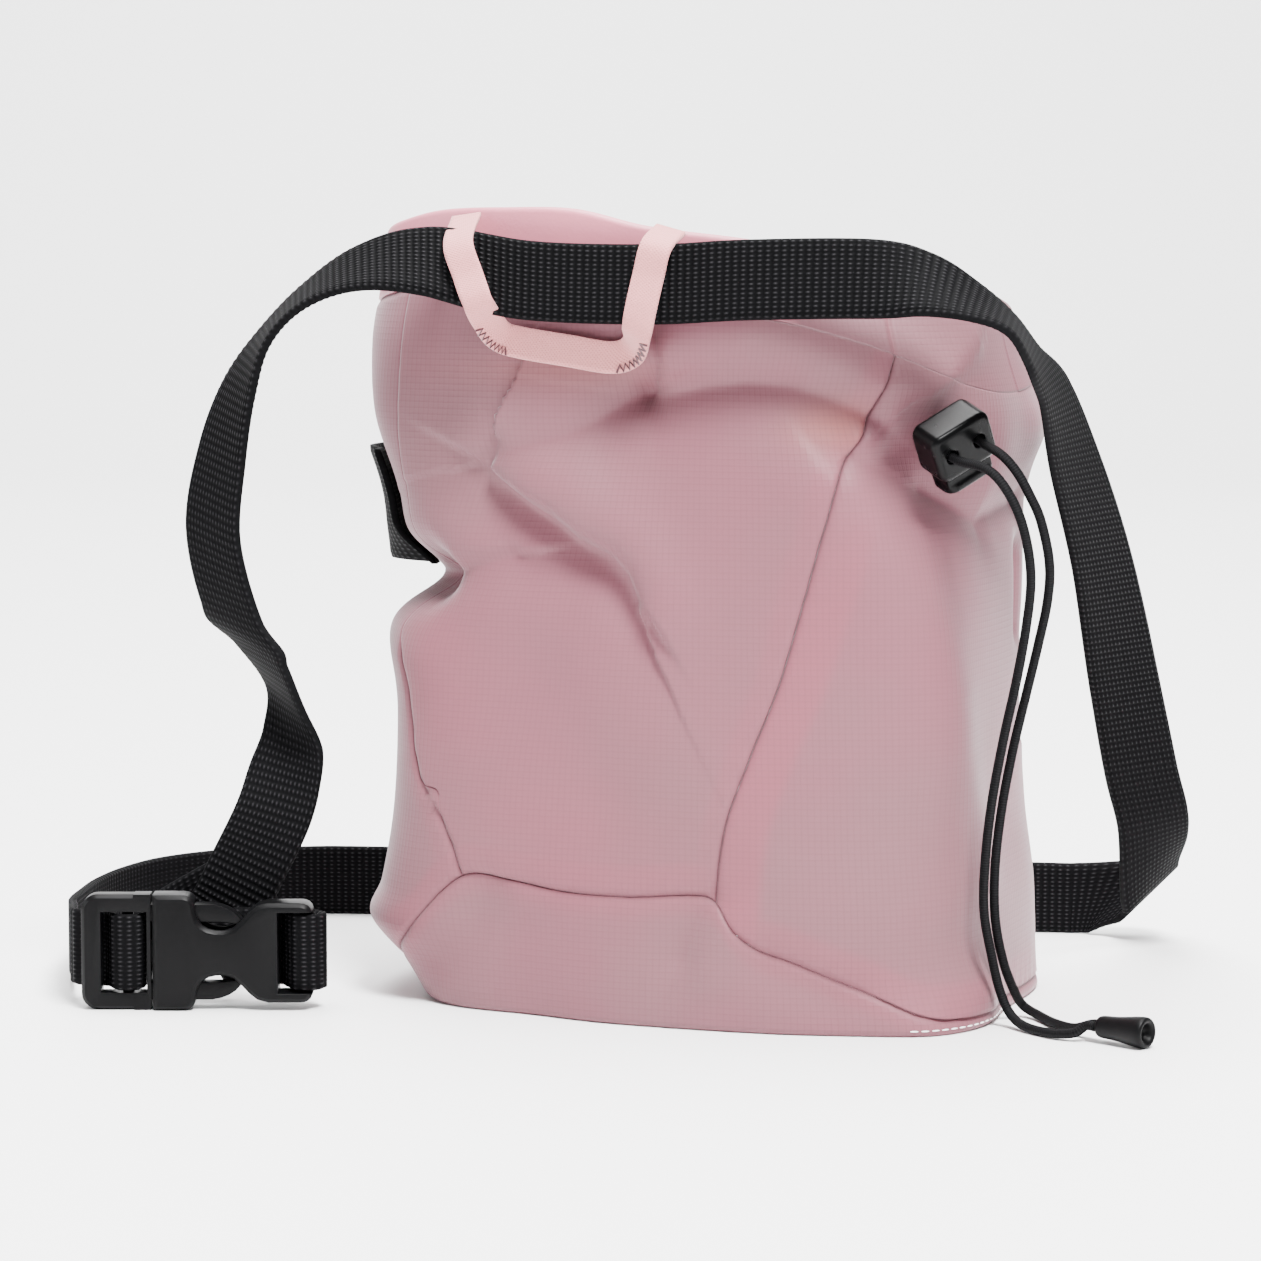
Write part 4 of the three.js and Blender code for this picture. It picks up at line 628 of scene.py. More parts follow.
def swept(sections, closed=False):
    """Points and faces of a band from its cross sections, each a ring of points."""
    rows, sides = sections.shape[:2]
    faces = grid_faces(rows, sides, closed_rows=closed, closed_columns=True)
    points = sections.reshape(-1, 3)
    if closed:
        return points, faces.tolist()
    first = list(range(sides))[::-1]
    last = [(rows - 1) * sides + k for k in range(sides)]
    return points, faces.tolist() + [first, last]


def smooth_path(points, at):
    """Places on a smooth curve through points, by row number."""
    points = np.asarray(points, float)
    ends = (2 * points[:1] - points[1:2], 2 * points[-1:] - points[-2:-1])
    p = np.concatenate([ends[0], points, ends[1]])
    i = np.clip(np.floor(at).astype(int), 0, len(points) - 2)
    t = (at - i)[:, None]
    a, b, c, d = p[i], p[i + 1], p[i + 2], p[i + 3]
    before, after = (c - a) / 2, (d - b) / 2
    return (
        b + before * t
        + (-3 * b + 3 * c - 2 * before - after) * t**2
        + (2 * b - 2 * c + before + after) * t**3
    )


def even_steps(points, step):
    """Row numbers at even distances along the smooth curve, and the distances."""
    dense = np.linspace(0, len(points) - 1, 40 * (len(points) - 1) + 1)
    line = smooth_path(points, dense)
    run = np.concatenate([[0], np.cumsum(np.linalg.norm(np.diff(line, axis=0), axis=1))])
    count = max(int(round(run[-1] / step)), 2)
    along = np.linspace(0, run[-1], count + 1)
    return np.interp(along, run, dense), along


def unit(vectors):
    return vectors / np.linalg.norm(vectors, axis=-1, keepdims=True)


class Ribbon:
    """A flat band along rows of middle points and directions across it."""

    def __init__(self, middles, across, width, thick, step):
        self.middles, self.across = np.asarray(middles), np.asarray(across)
        self.width, self.thick = width, thick
        self.at, self.run = even_steps(self.middles, step)

    def frames(self, at):
        """Middle, across and face directions at some row numbers."""
        middle = smooth_path(self.middles, at)
        near = np.clip(np.stack([at - 0.02, at + 0.02]), 0, len(self.middles) - 1)
        ahead = unit(smooth_path(self.middles, near[1]) - smooth_path(self.middles, near[0]))
        side = smooth_path(self.across, at)
        lean = (side * ahead).sum(-1, keepdims=True)
        side = side / np.linalg.norm(side - lean * ahead, axis=-1, keepdims=True)
        return middle, side, unit(np.cross(ahead, side))

    def point(self, at, share, lift=0.0):
        """Points on the band's face, by row number and share of half its width."""
        middle, side, face = self.frames(np.atleast_1d(np.asarray(at, float)))
        share = np.broadcast_to(share, middle.shape[:1])[:, None]
        return middle + side * share * self.width / 2 + face * (self.thick / 2 + lift)

    def build(self, name, values=None):
        """The band's mesh, with rounded edges, its weave map and its run along it."""
        flat = np.linspace(-0.93, 0.93, 9)
        top = [(a, 1.0) for a in flat] + [(0.985, 0.8), (1.0, 0.35)]
        outline = np.array(top + [(-a, -b) for a, b in top])
        middle, side, face = self.frames(self.at)
        a, b = outline[:, 0], outline[:, 1]
        sections = (
            middle[:, None]
            + side[:, None] * a[None, :, None] * self.width / 2
            + face[:, None] * b[None, :, None] * self.thick / 2
        )
        points, faces = swept(sections)
        sides = len(outline)
        run = np.repeat(self.run, sides)
        across = np.tile(a, len(self.run)) * self.width / 2
        body = np.tile((np.abs(a) < 0.95).astype(float), len(self.run))
        facts = {"run": run, "body": body}
        for key, (rows, column) in (values or {}).items():
            facts[key] = np.repeat(np.interp(self.at, rows, column), sides)
        uv = np.stack([across * 10, run * 10], -1)
        return mesh_object(name, points, [f[::-1] for f in faces], uv, facts)


# Node trees


class Value:
    """A socket of a node tree, to be used in sums."""

    def __init__(self, tree, socket):
        self.tree, self.socket = tree, socket

    def output(self, name):
        """Another output of the same node."""
        return Value(self.tree, self.socket.node.outputs[name])

    def __add__(self, other):
        return self.tree.sum("ADD", self, other)

    def __sub__(self, other):
        return self.tree.sum("SUBTRACT", self, other)

    def __rsub__(self, other):
        return self.tree.sum("SUBTRACT", other, self)

    def __mul__(self, other):
        return self.tree.sum("MULTIPLY", self, other)

    def __truediv__(self, other):
        return self.tree.sum("DIVIDE", self, other)

    def __pow__(self, other):
        return self.tree.sum("POWER", self, other)

    __radd__ = __add__
    __rmul__ = __mul__

    def wave(self, pitch):
        """From 0 to 1 and back once in each pitch."""
        return self.tree.sum("COSINE", self * (2 * math.pi / pitch)) * 0.5 + 0.5

    def clear(self, low, high):
        """From 0 at low to 1 at high, clamped."""
        return self.tree.add(
            "ShaderNodeMapRange", {"interpolation_type": "SMOOTHSTEP"}, {0: self, 1: low, 2: high}
        )


class Tree:
    """A node tree that is built by calls."""

    def __init__(self, nodes):
        self.nodes = nodes

    def add(self, kind, settings=None, sockets=None, output=0):
        """A new node: its settings first, then its sockets' values or links; gives an output."""
        node = self.nodes.nodes.new(kind)
        for key, value in (settings or {}).items():
            setattr(node, key, value)
        for key, value in (sockets or {}).items():
            if isinstance(value, Value):
                self.nodes.links.new(value.socket, node.inputs[key])
            else:
                node.inputs[key].default_value = value
        return Value(self, node.outputs[output]) if node.outputs else node

    def sum(self, operation, *values):
        return self.add("ShaderNodeMath", {"operation": operation}, dict(enumerate(values)))


class Finish(Tree):
    """A material with one principled shader."""

    def __init__(self, name, **constants):
        self.material = bpy.data.materials.new(name)
        self.material.use_nodes = True
        super().__init__(self.material.node_tree)
        self.nodes.nodes.clear()
        self.shader = self.nodes.nodes.new("ShaderNodeBsdfPrincipled")
        out = self.nodes.nodes.new("ShaderNodeOutputMaterial")
        self.nodes.links.new(self.shader.outputs[0], out.inputs[0])
        for key, value in constants.items():
            self.shader.inputs[key.replace("_", " ")].default_value = value

    def feed(self, **values):
        """Links values to the shader's sockets."""
        for key, value in values.items():
            self.nodes.links.new(value.socket, self.shader.inputs[key.replace("_", " ")])
        return self.material

    def place(self):
        return self.add("ShaderNodeTexCoord", output="Object")

    def weave_map(self):
        """Across and along the piece's own weave, ten to a metre."""
        uv = self.add("ShaderNodeUVMap", {"uv_map": "weave"})
        parts = self.add("ShaderNodeSeparateXYZ", {}, {0: uv})
        return parts, parts.output("Y")

    def value(self, name):
        """A named value of the piece's points."""
        return self.add("ShaderNodeAttribute", {"attribute_name": name}, output="Fac")

    def noise(self, scale, detail=2.0):
        sockets = {"Vector": self.place(), "Scale": scale, "Detail": detail}
        return self.add("ShaderNodeTexNoise", {}, sockets)

    def mix(self, factor, first, second):
        """One colour over another."""
        sockets = {0: factor, 6: first, 7: second}
        return self.add("ShaderNodeMix", {"data_type": "RGBA"}, sockets, output=2)

    def bump(self, height, distance, strength=1.0):
        return self.add(
            "ShaderNodeBump", {}, {"Height": height, "Distance": distance, "Strength": strength}
        )


def rgb(colour):
    return (*colour, 1.0)


def scaled(colour, factor):
    return (*(min(c * factor, 1.0) for c in colour), 1.0)


def ripstop(f, sizes, colours):
    """The colour of plain ripstop, its grid of heavier threads, and its height."""
    across, up = f.weave_map()
    pitch = sizes.ripstop * 10
    lines = across.wave(pitch) ** 5 + up.wave(pitch) ** 5
    threads = across.wave(pitch / 5) * up.wave(pitch / 5)
    patch = f.noise(16, 3).clear(0.35, 0.66)
    body = f.mix(patch, rgb(colours.cloth), rgb(colours.cloth_grey))
    return body, lines, lines * 0.5 + threads * 0.25 + f.noise(900, 1) * 0.2


def cloth_finish(sizes, colours):
    """Ripstop cloth, pinker where it is doubled at a seam, with painted shade in the seams' creases."""
    f = Finish("ripstop cloth", Sheen_Weight=0.2, Sheen_Roughness=0.4, Specular_IOR_Level=0.4)
    body, lines, height = ripstop(f, sizes, colours)
    body = f.mix(f.value("blush"), body, rgb(colours.cloth_warm))
    body = f.mix(f.value("coral"), body, rgb(colours.coral))
    body = f.mix(lines * 0.13, body, scaled(colours.cloth, 0.55))
    # painted shade: the cloth is darkened along the seams' creases, where shade falls in the groove
    body = f.mix(f.value("crease") * 0.75, body, scaled(colours.cloth_warm, 0.42))
    return f.feed(
        Base_Color=body, Roughness=0.56 + 0.14 * f.noise(90, 2), Normal=f.bump(height, 0.00005)
    )


def rim_finish(sizes, colours):
    """Smooth coated cloth with a slight gloss, plain ripstop at the right, and painted shade at its
    foot and in the seam's groove.
    """
    f = Finish("coated rim", Coat_Weight=0.1, Coat_Roughness=0.3)
    plain, lines, height = ripstop(f, sizes, colours)
    plain = f.mix(lines * 0.13, plain, scaled(colours.cloth, 0.55))
    here = f.value("ripstop")
    soft = f.noise(40, 3)
    grain = f.noise(1400, 1)
    body = f.mix(soft.clear(0.3, 0.7), rgb(colours.rim), scaled(colours.rim, 0.88))
    body = f.mix(here, body, plain)
    # painted shade: the rim is darkened where it meets the wall and in the right seam's groove
    body = f.mix(f.value("crease") * 0.6, body, scaled(colours.rim, 0.3))
    relief = (grain + soft * 2) * (1 - here) + height * here
    return f.feed(
        Base_Color=body, Roughness=0.38 + 0.12 * soft + 0.14 * here, Normal=f.bump(relief, 0.00005)
    )


def tape_finish(colours):
    """Woven tape: slanting threads between two firm edges."""
    f = Finish("woven tape", Roughness=0.7, Sheen_Weight=0.3)
    across, along = f.weave_map()
    twill = (across + along).wave(0.0085) * (along - across * 0.6).wave(0.0062)
    edge = f.value("body")
    fuzz = f.noise(2200, 2)
    body = f.mix(twill * 0.5, rgb(colours.tape), scaled(colours.tape, 0.68))
    body = f.mix((fuzz.clear(0.5, 0.72)) * 0.35, body, scaled(colours.tape, 1.25))
    body = f.mix((1 - edge) * 0.35, body, scaled(colours.tape, 0.6))
    return f.feed(Base_Color=body, Normal=f.bump(twill + fuzz * 0.6, 0.00009))


def webbing_finish(name, sizes, colours):
    """Black webbing: ribs across it, with small painted highlights (glints) where the threads turn
    over.
    """
    f = Finish(name, Specular_IOR_Level=0.04)
    across, along = f.weave_map()
    pitch = sizes.rib_pitch * 10
    rib = along.wave(pitch)
    warp = across.wave(pitch * 0.56)
    shift = f.value("ribs")
    # painted highlight: the glints on the rib tops, paler and less rough
    glint = (rib**2) * (warp**3) * (0.25 + 0.75 * shift)
    fuzz = f.noise(1800, 2)
    lengthwise = (across.wave(pitch * 0.9) ** 2) * (1 - shift) * 0.5
    body = f.mix(glint * 0.62 + lengthwise * 0.12, rgb(colours.webbing), GLINT)
    body = f.mix(fuzz.clear(0.62, 0.8) * 0.35, body, FLUFF)
    edge = 1 - f.value("body")
    body = f.mix(edge * 0.3, body, FIRM_EDGE)
    height = glint + rib * shift * 0.7 + warp * 0.25 + fuzz * 0.25
    return f.feed(
        Base_Color=body, Roughness=0.72 - 0.25 * glint, Normal=f.bump(height, 0.00014)
    )


def plastic_finish(name, colours, rough):
    """Moulded plastic: a fine skin texture, with a painted highlight that lightens its edges, and
    smoother edges.
    """
    f = Finish(name, Specular_IOR_Level=0.09)
    skin = f.noise(1500, 2)
    cloud = f.noise(120, 3)
    point = f.add("ShaderNodeNewGeometry", output="Pointiness")
    # painted highlight: edges picked by their pointiness are made lighter and a little smoother
    edge_highlight = point.clear(0.52, 0.60) * 0.5
    body = f.mix(cloud * 0.5, rgb(colours.plastic), scaled(colours.plastic, 2.2))
    body = f.mix(edge_highlight, body, EDGE_HIGHLIGHT)
    return f.feed(
        Base_Color=body,
        Roughness=rough + 0.12 * cloud - 0.06 * edge_highlight,
        Normal=f.bump(skin, 0.00002, 0.6),
    )


def cord_finish(colours, diameter):
    """A round braid: two families of threads that cross."""
    f = Finish("braided cord", Specular_IOR_Level=0.05)
    round_way, along = f.weave_map()
    pitch = diameter * 10 * 1.1
    one = (along + round_way * pitch * 0.5).wave(pitch * 0.5)
    two = (along - round_way * pitch * 0.5).wave(pitch * 0.5)
    braid = one * (1 - two) + two * (1 - one)
    body = f.mix(braid * 0.6, rgb(colours.cord), BRAID)
    fuzz = f.noise(2500, 2)
    return f.feed(
        Base_Color=body, Roughness=0.62 + 0.2 * fuzz, Normal=f.bump(braid + fuzz * 0.3, 0.00012)
    )


def thread_finish(name, colour):
    """Sewing thread."""
    f = Finish(name, Sheen_Weight=0.3)
    ply = f.noise(2600, 1)
    body = f.mix(ply, rgb(colour), scaled(colour, 1.5))
    return f.feed(Base_Color=body, Roughness=0.55 + 0.2 * ply, Normal=f.bump(ply, 0.00005))


# Geometry Nodes


def node_group(name, inputs):
    """A geometry tree with named inputs, and by their names the values that stand for them."""
    group = bpy.data.node_groups.new(name, "GeometryNodeTree")
    group.interface.new_socket("Geometry", in_out="INPUT", socket_type="NodeSocketGeometry")
    for label, kind, value in inputs:
        socket = group.interface.new_socket(label, in_out="INPUT", socket_type=kind)
        if value is not None:
            socket.default_value = value
    group.interface.new_socket("Geometry", in_out="OUTPUT", socket_type="NodeSocketGeometry")
    tree, entry = Tree(group), group.nodes.new("NodeGroupInput")
    return group, tree, {socket.name: Value(tree, socket) for socket in entry.outputs if socket.name}


def close_group(tree, finish, geometry):
    """Ends a geometry tree: instances made real, and one material."""
    real = tree.add("GeometryNodeRealizeInstances", {}, {0: geometry})
    done = tree.add(
        "GeometryNodeSetMaterial", {}, {0: real, "Material": finish}
    )
    exit_node = tree.nodes.nodes.new("NodeGroupOutput")
    tree.nodes.links.new(done.socket, exit_node.inputs[0])


def rib_group():
    """Raises ribs across webbing from its run along the belt."""
    group, tree, given = node_group(
        "webbing ribs",
        [
            ("Pitch", "NodeSocketFloat", 0.0017),
            ("Rise", "NodeSocketFloat", 0.0001),
            ("Finish", "NodeSocketMaterial", None),
        ],
    )
    run, ribs, body = (
        tree.add("GeometryNodeInputNamedAttribute", {"data_type": "FLOAT"}, {"Name": name})
        for name in ("run", "ribs", "body")
    )
    wave = tree.sum("COSINE", run / given["Pitch"] * (2 * math.pi)) * 0.5 + 0.5
    lift = wave * given["Rise"] * ribs * body
    normal = tree.add("GeometryNodeInputNormal")
    offset = tree.add("ShaderNodeVectorMath", {"operation": "SCALE"}, {0: normal, "Scale": lift})
    moved = tree.add("GeometryNodeSetPosition", {}, {"Geometry": given["Geometry"], "Offset": offset})
    close_group(tree, given["Finish"], moved)
    return group


def stitch_group():
    """Lays stitches end to end along lines."""
    group, tree, given = node_group(
        "stitch row",
        [
            ("Pitch", "NodeSocketFloat", 0.0022),
            ("Stitch", "NodeSocketFloat", 0.0018),
            ("Thread", "NodeSocketFloat", 0.0002),
            ("Finish", "NodeSocketMaterial", None),
        ],
    )
    line = tree.add("GeometryNodeMeshToCurve", {}, {0: given["Geometry"]})
    spaced = tree.add(
        "GeometryNodeResampleCurve", {"mode": "LENGTH"}, {"Curve": line, "Length": given["Pitch"]}
    )
    ball = tree.add(
        "GeometryNodeMeshUVSphere", {}, {"Segments": 6, "Rings": 5, "Radius": 0.5}
    )
    tangent = tree.add("GeometryNodeInputTangent")
    turn = tree.add("FunctionNodeAlignRotationToVector", {"axis": "Z"}, {"Vector": tangent})
    size = tree.add(
        "ShaderNodeCombineXYZ", {}, {0: given["Thread"] * 2, 1: given["Thread"] * 2, 2: given["Stitch"]}
    )
    placed = tree.add(
        "GeometryNodeInstanceOnPoints",
        {},
        {"Points": spaced, "Instance": ball, "Rotation": turn, "Scale": size},
    )
    close_group(tree, given["Finish"], placed)
    return group


def thread_group():
    """Gives lines the thickness of a thread."""
    group, tree, given = node_group(
        "thread",
        [("Thread", "NodeSocketFloat", 0.0002), ("Finish", "NodeSocketMaterial", None)],
    )
    line = tree.add("GeometryNodeMeshToCurve", {}, {0: given["Geometry"]})
    ring = tree.add(
        "GeometryNodeCurvePrimitiveCircle", {}, {"Resolution": 6, "Radius": given["Thread"]}
    )
    tube = tree.add(
        "GeometryNodeCurveToMesh", {}, {"Curve": line, "Profile Curve": ring, "Fill Caps": True}
    )
    close_group(tree, given["Finish"], tube)
    return group


def run_group(piece, group, values):
    """Runs a geometry tree on a piece and keeps the result as its plain mesh."""
    modifier = piece.modifiers.new(group.name, "NODES")
    modifier.node_group = group
    for item in group.interface.items_tree:
        if item.in_out == "INPUT" and item.name in values:
            modifier[item.identifier] = values[item.name]
    piece.update_tag()
    keep_result(piece)


def line_object(name, lines):
    """An object of plain edges along some lines of points."""
    points, edges = [], []
    for line in lines:
        first = len(points)
        points.extend(np.asarray(line).tolist())
        edges.extend((k, k + 1) for k in range(first, len(points) - 1))
    mesh = bpy.data.meshes.new(name)
    mesh.from_pydata(points, edges, [])
    return linked(name, mesh)


# Placing


def settle(piece, material, body="bag", nodes=()):
    """Gives a piece its finish and its body, and hides the solids it stands for."""
    if material is not None:
        piece.data.materials.clear()
        piece.data.materials.append(material)
    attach(piece, body)
    if nodes:
        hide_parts(*nodes)
    return piece


def in_metres(points):
    """Points given in millimetres, in metres."""
    return [tuple(c * MM for c in point) for point in points]


def lock_axes():
    """The lock's own directions: across its holes, along its plunger, and out of its face."""
    face = Vector(LOCK["face"]).normalized()
    press = Vector(LOCK["press"])
    press = (press - press.dot(face) * face).normalized()
    along = -press
    return along.cross(face), along, face


def at_lock(across, out):
    """A point at one of the lock's holes, in millimetres."""
    side, _, face = lock_axes()
    return tuple(Vector(LOCK["at"]) + side * across + face * out)


def buckle_axes():
    """The directions along the buckle and towards its back."""
    turn = math.radians(BUCKLE["turn"])
    along = np.array([math.cos(turn), math.sin(turn), 0.0])
    return along, np.array([-along[1], along[0], 0.0])


def at_buckle(along, height, back):
    """Points at the buckle, in metres."""
    ahead, behind = buckle_axes()
    start = np.array([BUCKLE["x"], BUCKLE["y"], 0.0])
    along, height, back = np.broadcast_arrays(along, height, back)
    return start + along[..., None] * ahead + back[..., None] * behind + height[..., None] * UP


def across_direction(turn, tilt):
    """The direction across a band, from its turn and its tilt in degrees."""
    turn, tilt = np.radians(turn), np.radians(tilt)
    level = np.cos(tilt)
    return np.stack([level * np.cos(turn), level * np.sin(turn), np.sin(tilt)], -1)


def belt_rows(sizes):
    """Middle points, directions across and strength of the ribs, from the belt's three tables."""
    middles, across, ribs = [], [], []
    for rows in (BELT_START, BELT_ROUND, BELT_END):
        if "along" in rows:
            wide = sizes.webbing_width
            middles.append(
                at_buckle(rows["along"] * wide, rows["height"] * BUCKLE["height"], rows["back"] * wide)
            )
        else:
            half = (sizes.width / 2, sizes.depth / 2, sizes.height)
            middles.append(np.stack([rows[k] * h for k, h in zip("xyz", half)], -1))
        across.append(across_direction(rows["turn"], rows["tilt"]))
        ribs.append(rows["ribs"])
    return np.concatenate(middles), np.concatenate(across), np.concatenate(ribs)


def tape_ribbon(shape):
    """The belt loop's tape in front of the belt."""
    sizes = shape.sizes
    x, z = TAPE_ROWS["x"] * sizes.width / 2, TAPE_ROWS["z"] * sizes.height
    angle = np.full(x.shape, 270.0)
    for _ in range(8):
        wall = shape.wall(angle, z)
        angle = angle + np.degrees((x - wall[:, 0]) / shape.radius(angle, z))
    on_wall = shape.wall(angle, z)[:, 1] - SEAT_GAP - sizes.tape_thick
    belt = -BELT_STAND * sizes.depth / 2 - sizes.webbing_thick / 2 - SEAT_GAP - sizes.tape_thick
    y = on_wall + (belt - on_wall) * TAPE_ROWS["off"]
    lean = np.radians(TAPE_ROWS["lean"])
    across = np.stack([np.cos(lean), np.zeros(len(lean)), np.sin(lean)], -1)
    return Ribbon(np.stack([x, y, z], -1), across, sizes.tape_width, sizes.tape_thick, 0.3 * MM)


def zigzag(ribbon, start, end, low, high, turns, lift):
    """A zigzag line over a band's face, between two row numbers."""
    at = np.linspace(start, end, 2 * turns + 1)
    share = np.where(np.arange(len(at)) % 2, high, low)
    return ribbon.point(at, share, lift)


def tube(name, points, radius, sides=14, step=0.5 * MM):
    """A round tube along a smooth path, with flat ends."""
    at, run = even_steps(points, step)
    line = smooth_path(points, at)
    ahead = unit(np.gradient(line, axis=0))
    side = np.cross(ahead[0], UP)
    sides_at = []
    for direction in ahead:
        side = side - (side @ direction) * direction
        side = side / np.linalg.norm(side)
        sides_at.append(side)
    across = np.array(sides_at)
    over = np.cross(ahead, across)
    turn = np.linspace(0, 2 * math.pi, sides, endpoint=False)
    rings = (
        line[:, None]
        + across[:, None] * np.cos(turn)[None, :, None] * radius
        + over[:, None] * np.sin(turn)[None, :, None] * radius
    )
    points, faces = swept(rings)
    uv = np.stack([np.tile(turn / math.pi, len(run)), np.repeat(run * 10, sides)], -1)
    piece = mesh_object(name, points, [f[::-1] for f in faces], uv)
    return piece, line, run[-1]


def refined_copy(node, name, bevel, segments=2):
    """A smooth, bevelled copy of a moulded solid."""
    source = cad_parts[node]
    mesh = source.data.copy()
    mesh.name = name
    piece = linked(name, mesh)
    made = bmesh.new()
    made.from_mesh(mesh)
    bmesh.ops.remove_doubles(made, verts=made.verts, dist=1e-6)
    flat = math.radians(FLAT_ANGLE)
    bmesh.ops.dissolve_limit(made, angle_limit=flat, verts=made.verts, edges=made.edges)
    made.to_mesh(mesh)
    made.free()
    cut = piece.modifiers.new("edges", "BEVEL")
    cut.width, cut.segments = bevel, segments
    cut.limit_method, cut.angle_limit = "ANGLE", math.radians(BEVEL_ANGLE)
    cut.use_clamp_overlap = True
    finished = keep_result(piece)
    finished.polygons.foreach_set("use_smooth", [True] * len(finished.polygons))
    for corner in finished.edges:
        corner.use_edge_sharp = False
    finished.set_sharp_from_angle(angle=math.radians(SHARP_ANGLE))
    return piece


def softened_copy(node, name, voxel=0.25 * MM, rounds=18):
    """A copy of a moulded solid with its edges rounded all over."""
    piece = refined_copy(node, name, 0.0002)
    remesh = piece.modifiers.new("voxels", "REMESH")
    remesh.mode, remesh.voxel_size = "VOXEL", voxel
    smooth = piece.modifiers.new("soft", "SMOOTH")
    smooth.factor, smooth.iterations = 0.5, rounds
    finished = keep_result(piece)
    finished.polygons.foreach_set("use_smooth", [True] * len(finished.polygons))
    return piece


def merge_poles(piece):
    """Merges the points that lie on one another, and turns all faces outwards."""
    made = bmesh.new()
    made.from_mesh(piece.data)
    bmesh.ops.remove_doubles(made, verts=made.verts, dist=1e-6)
    bmesh.ops.recalc_face_normals(made, faces=made.faces)
    made.to_mesh(piece.data)
    made.free()


def sew(name, lines, finish, slot, thick, **stitches):
    """Thread along some lines, unbroken or in stitches of a given pitch and length."""
    row = line_object(name, lines)
    group = stitch_group() if stitches else thread_group()
    run_group(row, group, {"Thread": thick, "Finish": finish, **stitches})
    settle(row, finish)


# Operators


class StageOperator(bpy.types.Operator):
    """Makes the floor, the lights and the camera."""

    bl_idname = "chalk_bag.stage"
    bl_label = "Stage"

    def execute(self, context):
        pale, shaded = (0.93, 0.93, 0.93, 1), (0.9, 0.9, 0.9, 1)
        floor = Finish("pale floor", Roughness=0.6, Base_Color=pale)
        floor.feed(Base_Color=floor.mix(floor.noise(3, 1) * 0.03, pale, shaded))
        reach, bend = FLOOR["reach"], FLOOR["bend"]
        rise = np.linspace(0, math.pi / 2, 16)
        y = np.concatenate([[FLOOR["near"], 0.0], reach - bend + bend * np.sin(rise), [reach]])
        z = np.concatenate([[0.0, 0.0], bend - bend * np.cos(rise), [FLOOR["high"]]])
        x = np.array([-FLOOR["half"], FLOOR["half"]])
        turn = math.radians(CAMERA["turn"])
        away = np.stack([-math.sin(turn) * y, math.cos(turn) * y, z], -1)
        side = np.array([math.cos(turn), math.sin(turn), 0])
        grid = away[:, None] + x[None, :, None] * side
        backdrop = mesh_object("backdrop", grid, grid_faces(*grid.shape[:2]))
        backdrop.data.materials.append(floor.material)

        for name, place, aim, power, size in LAMPS:
            light = bpy.data.lights.new(name, "AREA")
            light.energy, light.size = power, size
            lamp = linked(name, light)
            lamp.location = place
            lamp.rotation_euler = (Vector(aim) - Vector(place)).to_track_quat("-Z", "Y").to_euler()
        world = bpy.data.worlds.new("studio")
        world.use_nodes = True
        sky = world.node_tree.nodes["Background"]
        sky.inputs["Color"].default_value = (1, 1, 1, 1)
        sky.inputs["Strength"].default_value = SKY
        context.scene.world = world

        camera = bpy.data.cameras.new("camera")
        camera.sensor_width = 36
        camera.lens = CAMERA["focal_pixels"] * camera.sensor_width / PHOTO_PIXELS
        camera.clip_start, camera.clip_end = 0.01, 20
        seen = linked("camera", camera)
        seen.location = CAMERA["place"]
        seen.rotation_euler = (math.radians(90 - CAMERA["down"]), 0, turn)
        context.scene.camera = seen
        return {"FINISHED"}


class CordsOperator(bpy.types.Operator):
    """Makes the two strands of the drawcord and the bell that joins them."""

    bl_idname = "chalk_bag.cords"
    bl_label = "Drawcord"

    def execute(self, context):
        scene = context.scene
        sizes, colours = scene.chalk_bag_sizes, scene.chalk_bag_colours
        braid = cord_finish(colours, sizes.cord)
        turn = math.radians(BELL["turn"])
        along = np.array([math.cos(turn), math.sin(turn), 0.0])
        side = np.array([-along[1], along[0], 0.0])
        foot = np.array(BELL["at"])
        apart = sizes.cord / MM / 2 + BELL["cord_apart"]
        half = LOCK_HOLES["spacing"] / 2
        deep = LOCK_HOLES["deep"] / 2

        round_way = np.linspace(0, 2 * math.pi, 40, endpoint=False)
        a = BELL_OUTLINE["along"][:, None, None]
        r = BELL_OUTLINE["radius"][:, None, None]
        ring = side * np.cos(round_way)[:, None] + UP * np.sin(round_way)[:, None]
        points, faces = swept((foot + along * a + r * ring[None]) * MM)
        bell = mesh_object("cord_bell", points, faces[:-2])
        settle(bell, plastic_finish("bell plastic", colours, 0.42), nodes=["cord_end"])
        merge_poles(bell)
        wrap = bell.modifiers.new("round", "SUBSURF")
        wrap.levels = wrap.render_levels = 1

        for name, node, sign, route in (
            ("drawcord_outer_strand", "drawcord_outer", 1, OUTER_ROUTE),
            ("drawcord_inner_strand", "drawcord_inner", -1, INNER_ROUTE),
        ):
            start = [at_lock(sign * half, out) for out in (-deep - 0.5, 0, deep + 1.5)]
            end = [tuple(foot + side * sign * apart - along * before) for before in (2.5, 0.3)]
            path = in_metres(start + route + end)
            strand, line, real = tube(name, path, sizes.cord / 2)
            settle(strand, braid, nodes=[node])
            line[::6].tolist() + [line[-1].tolist()]
        return {"FINISHED"}


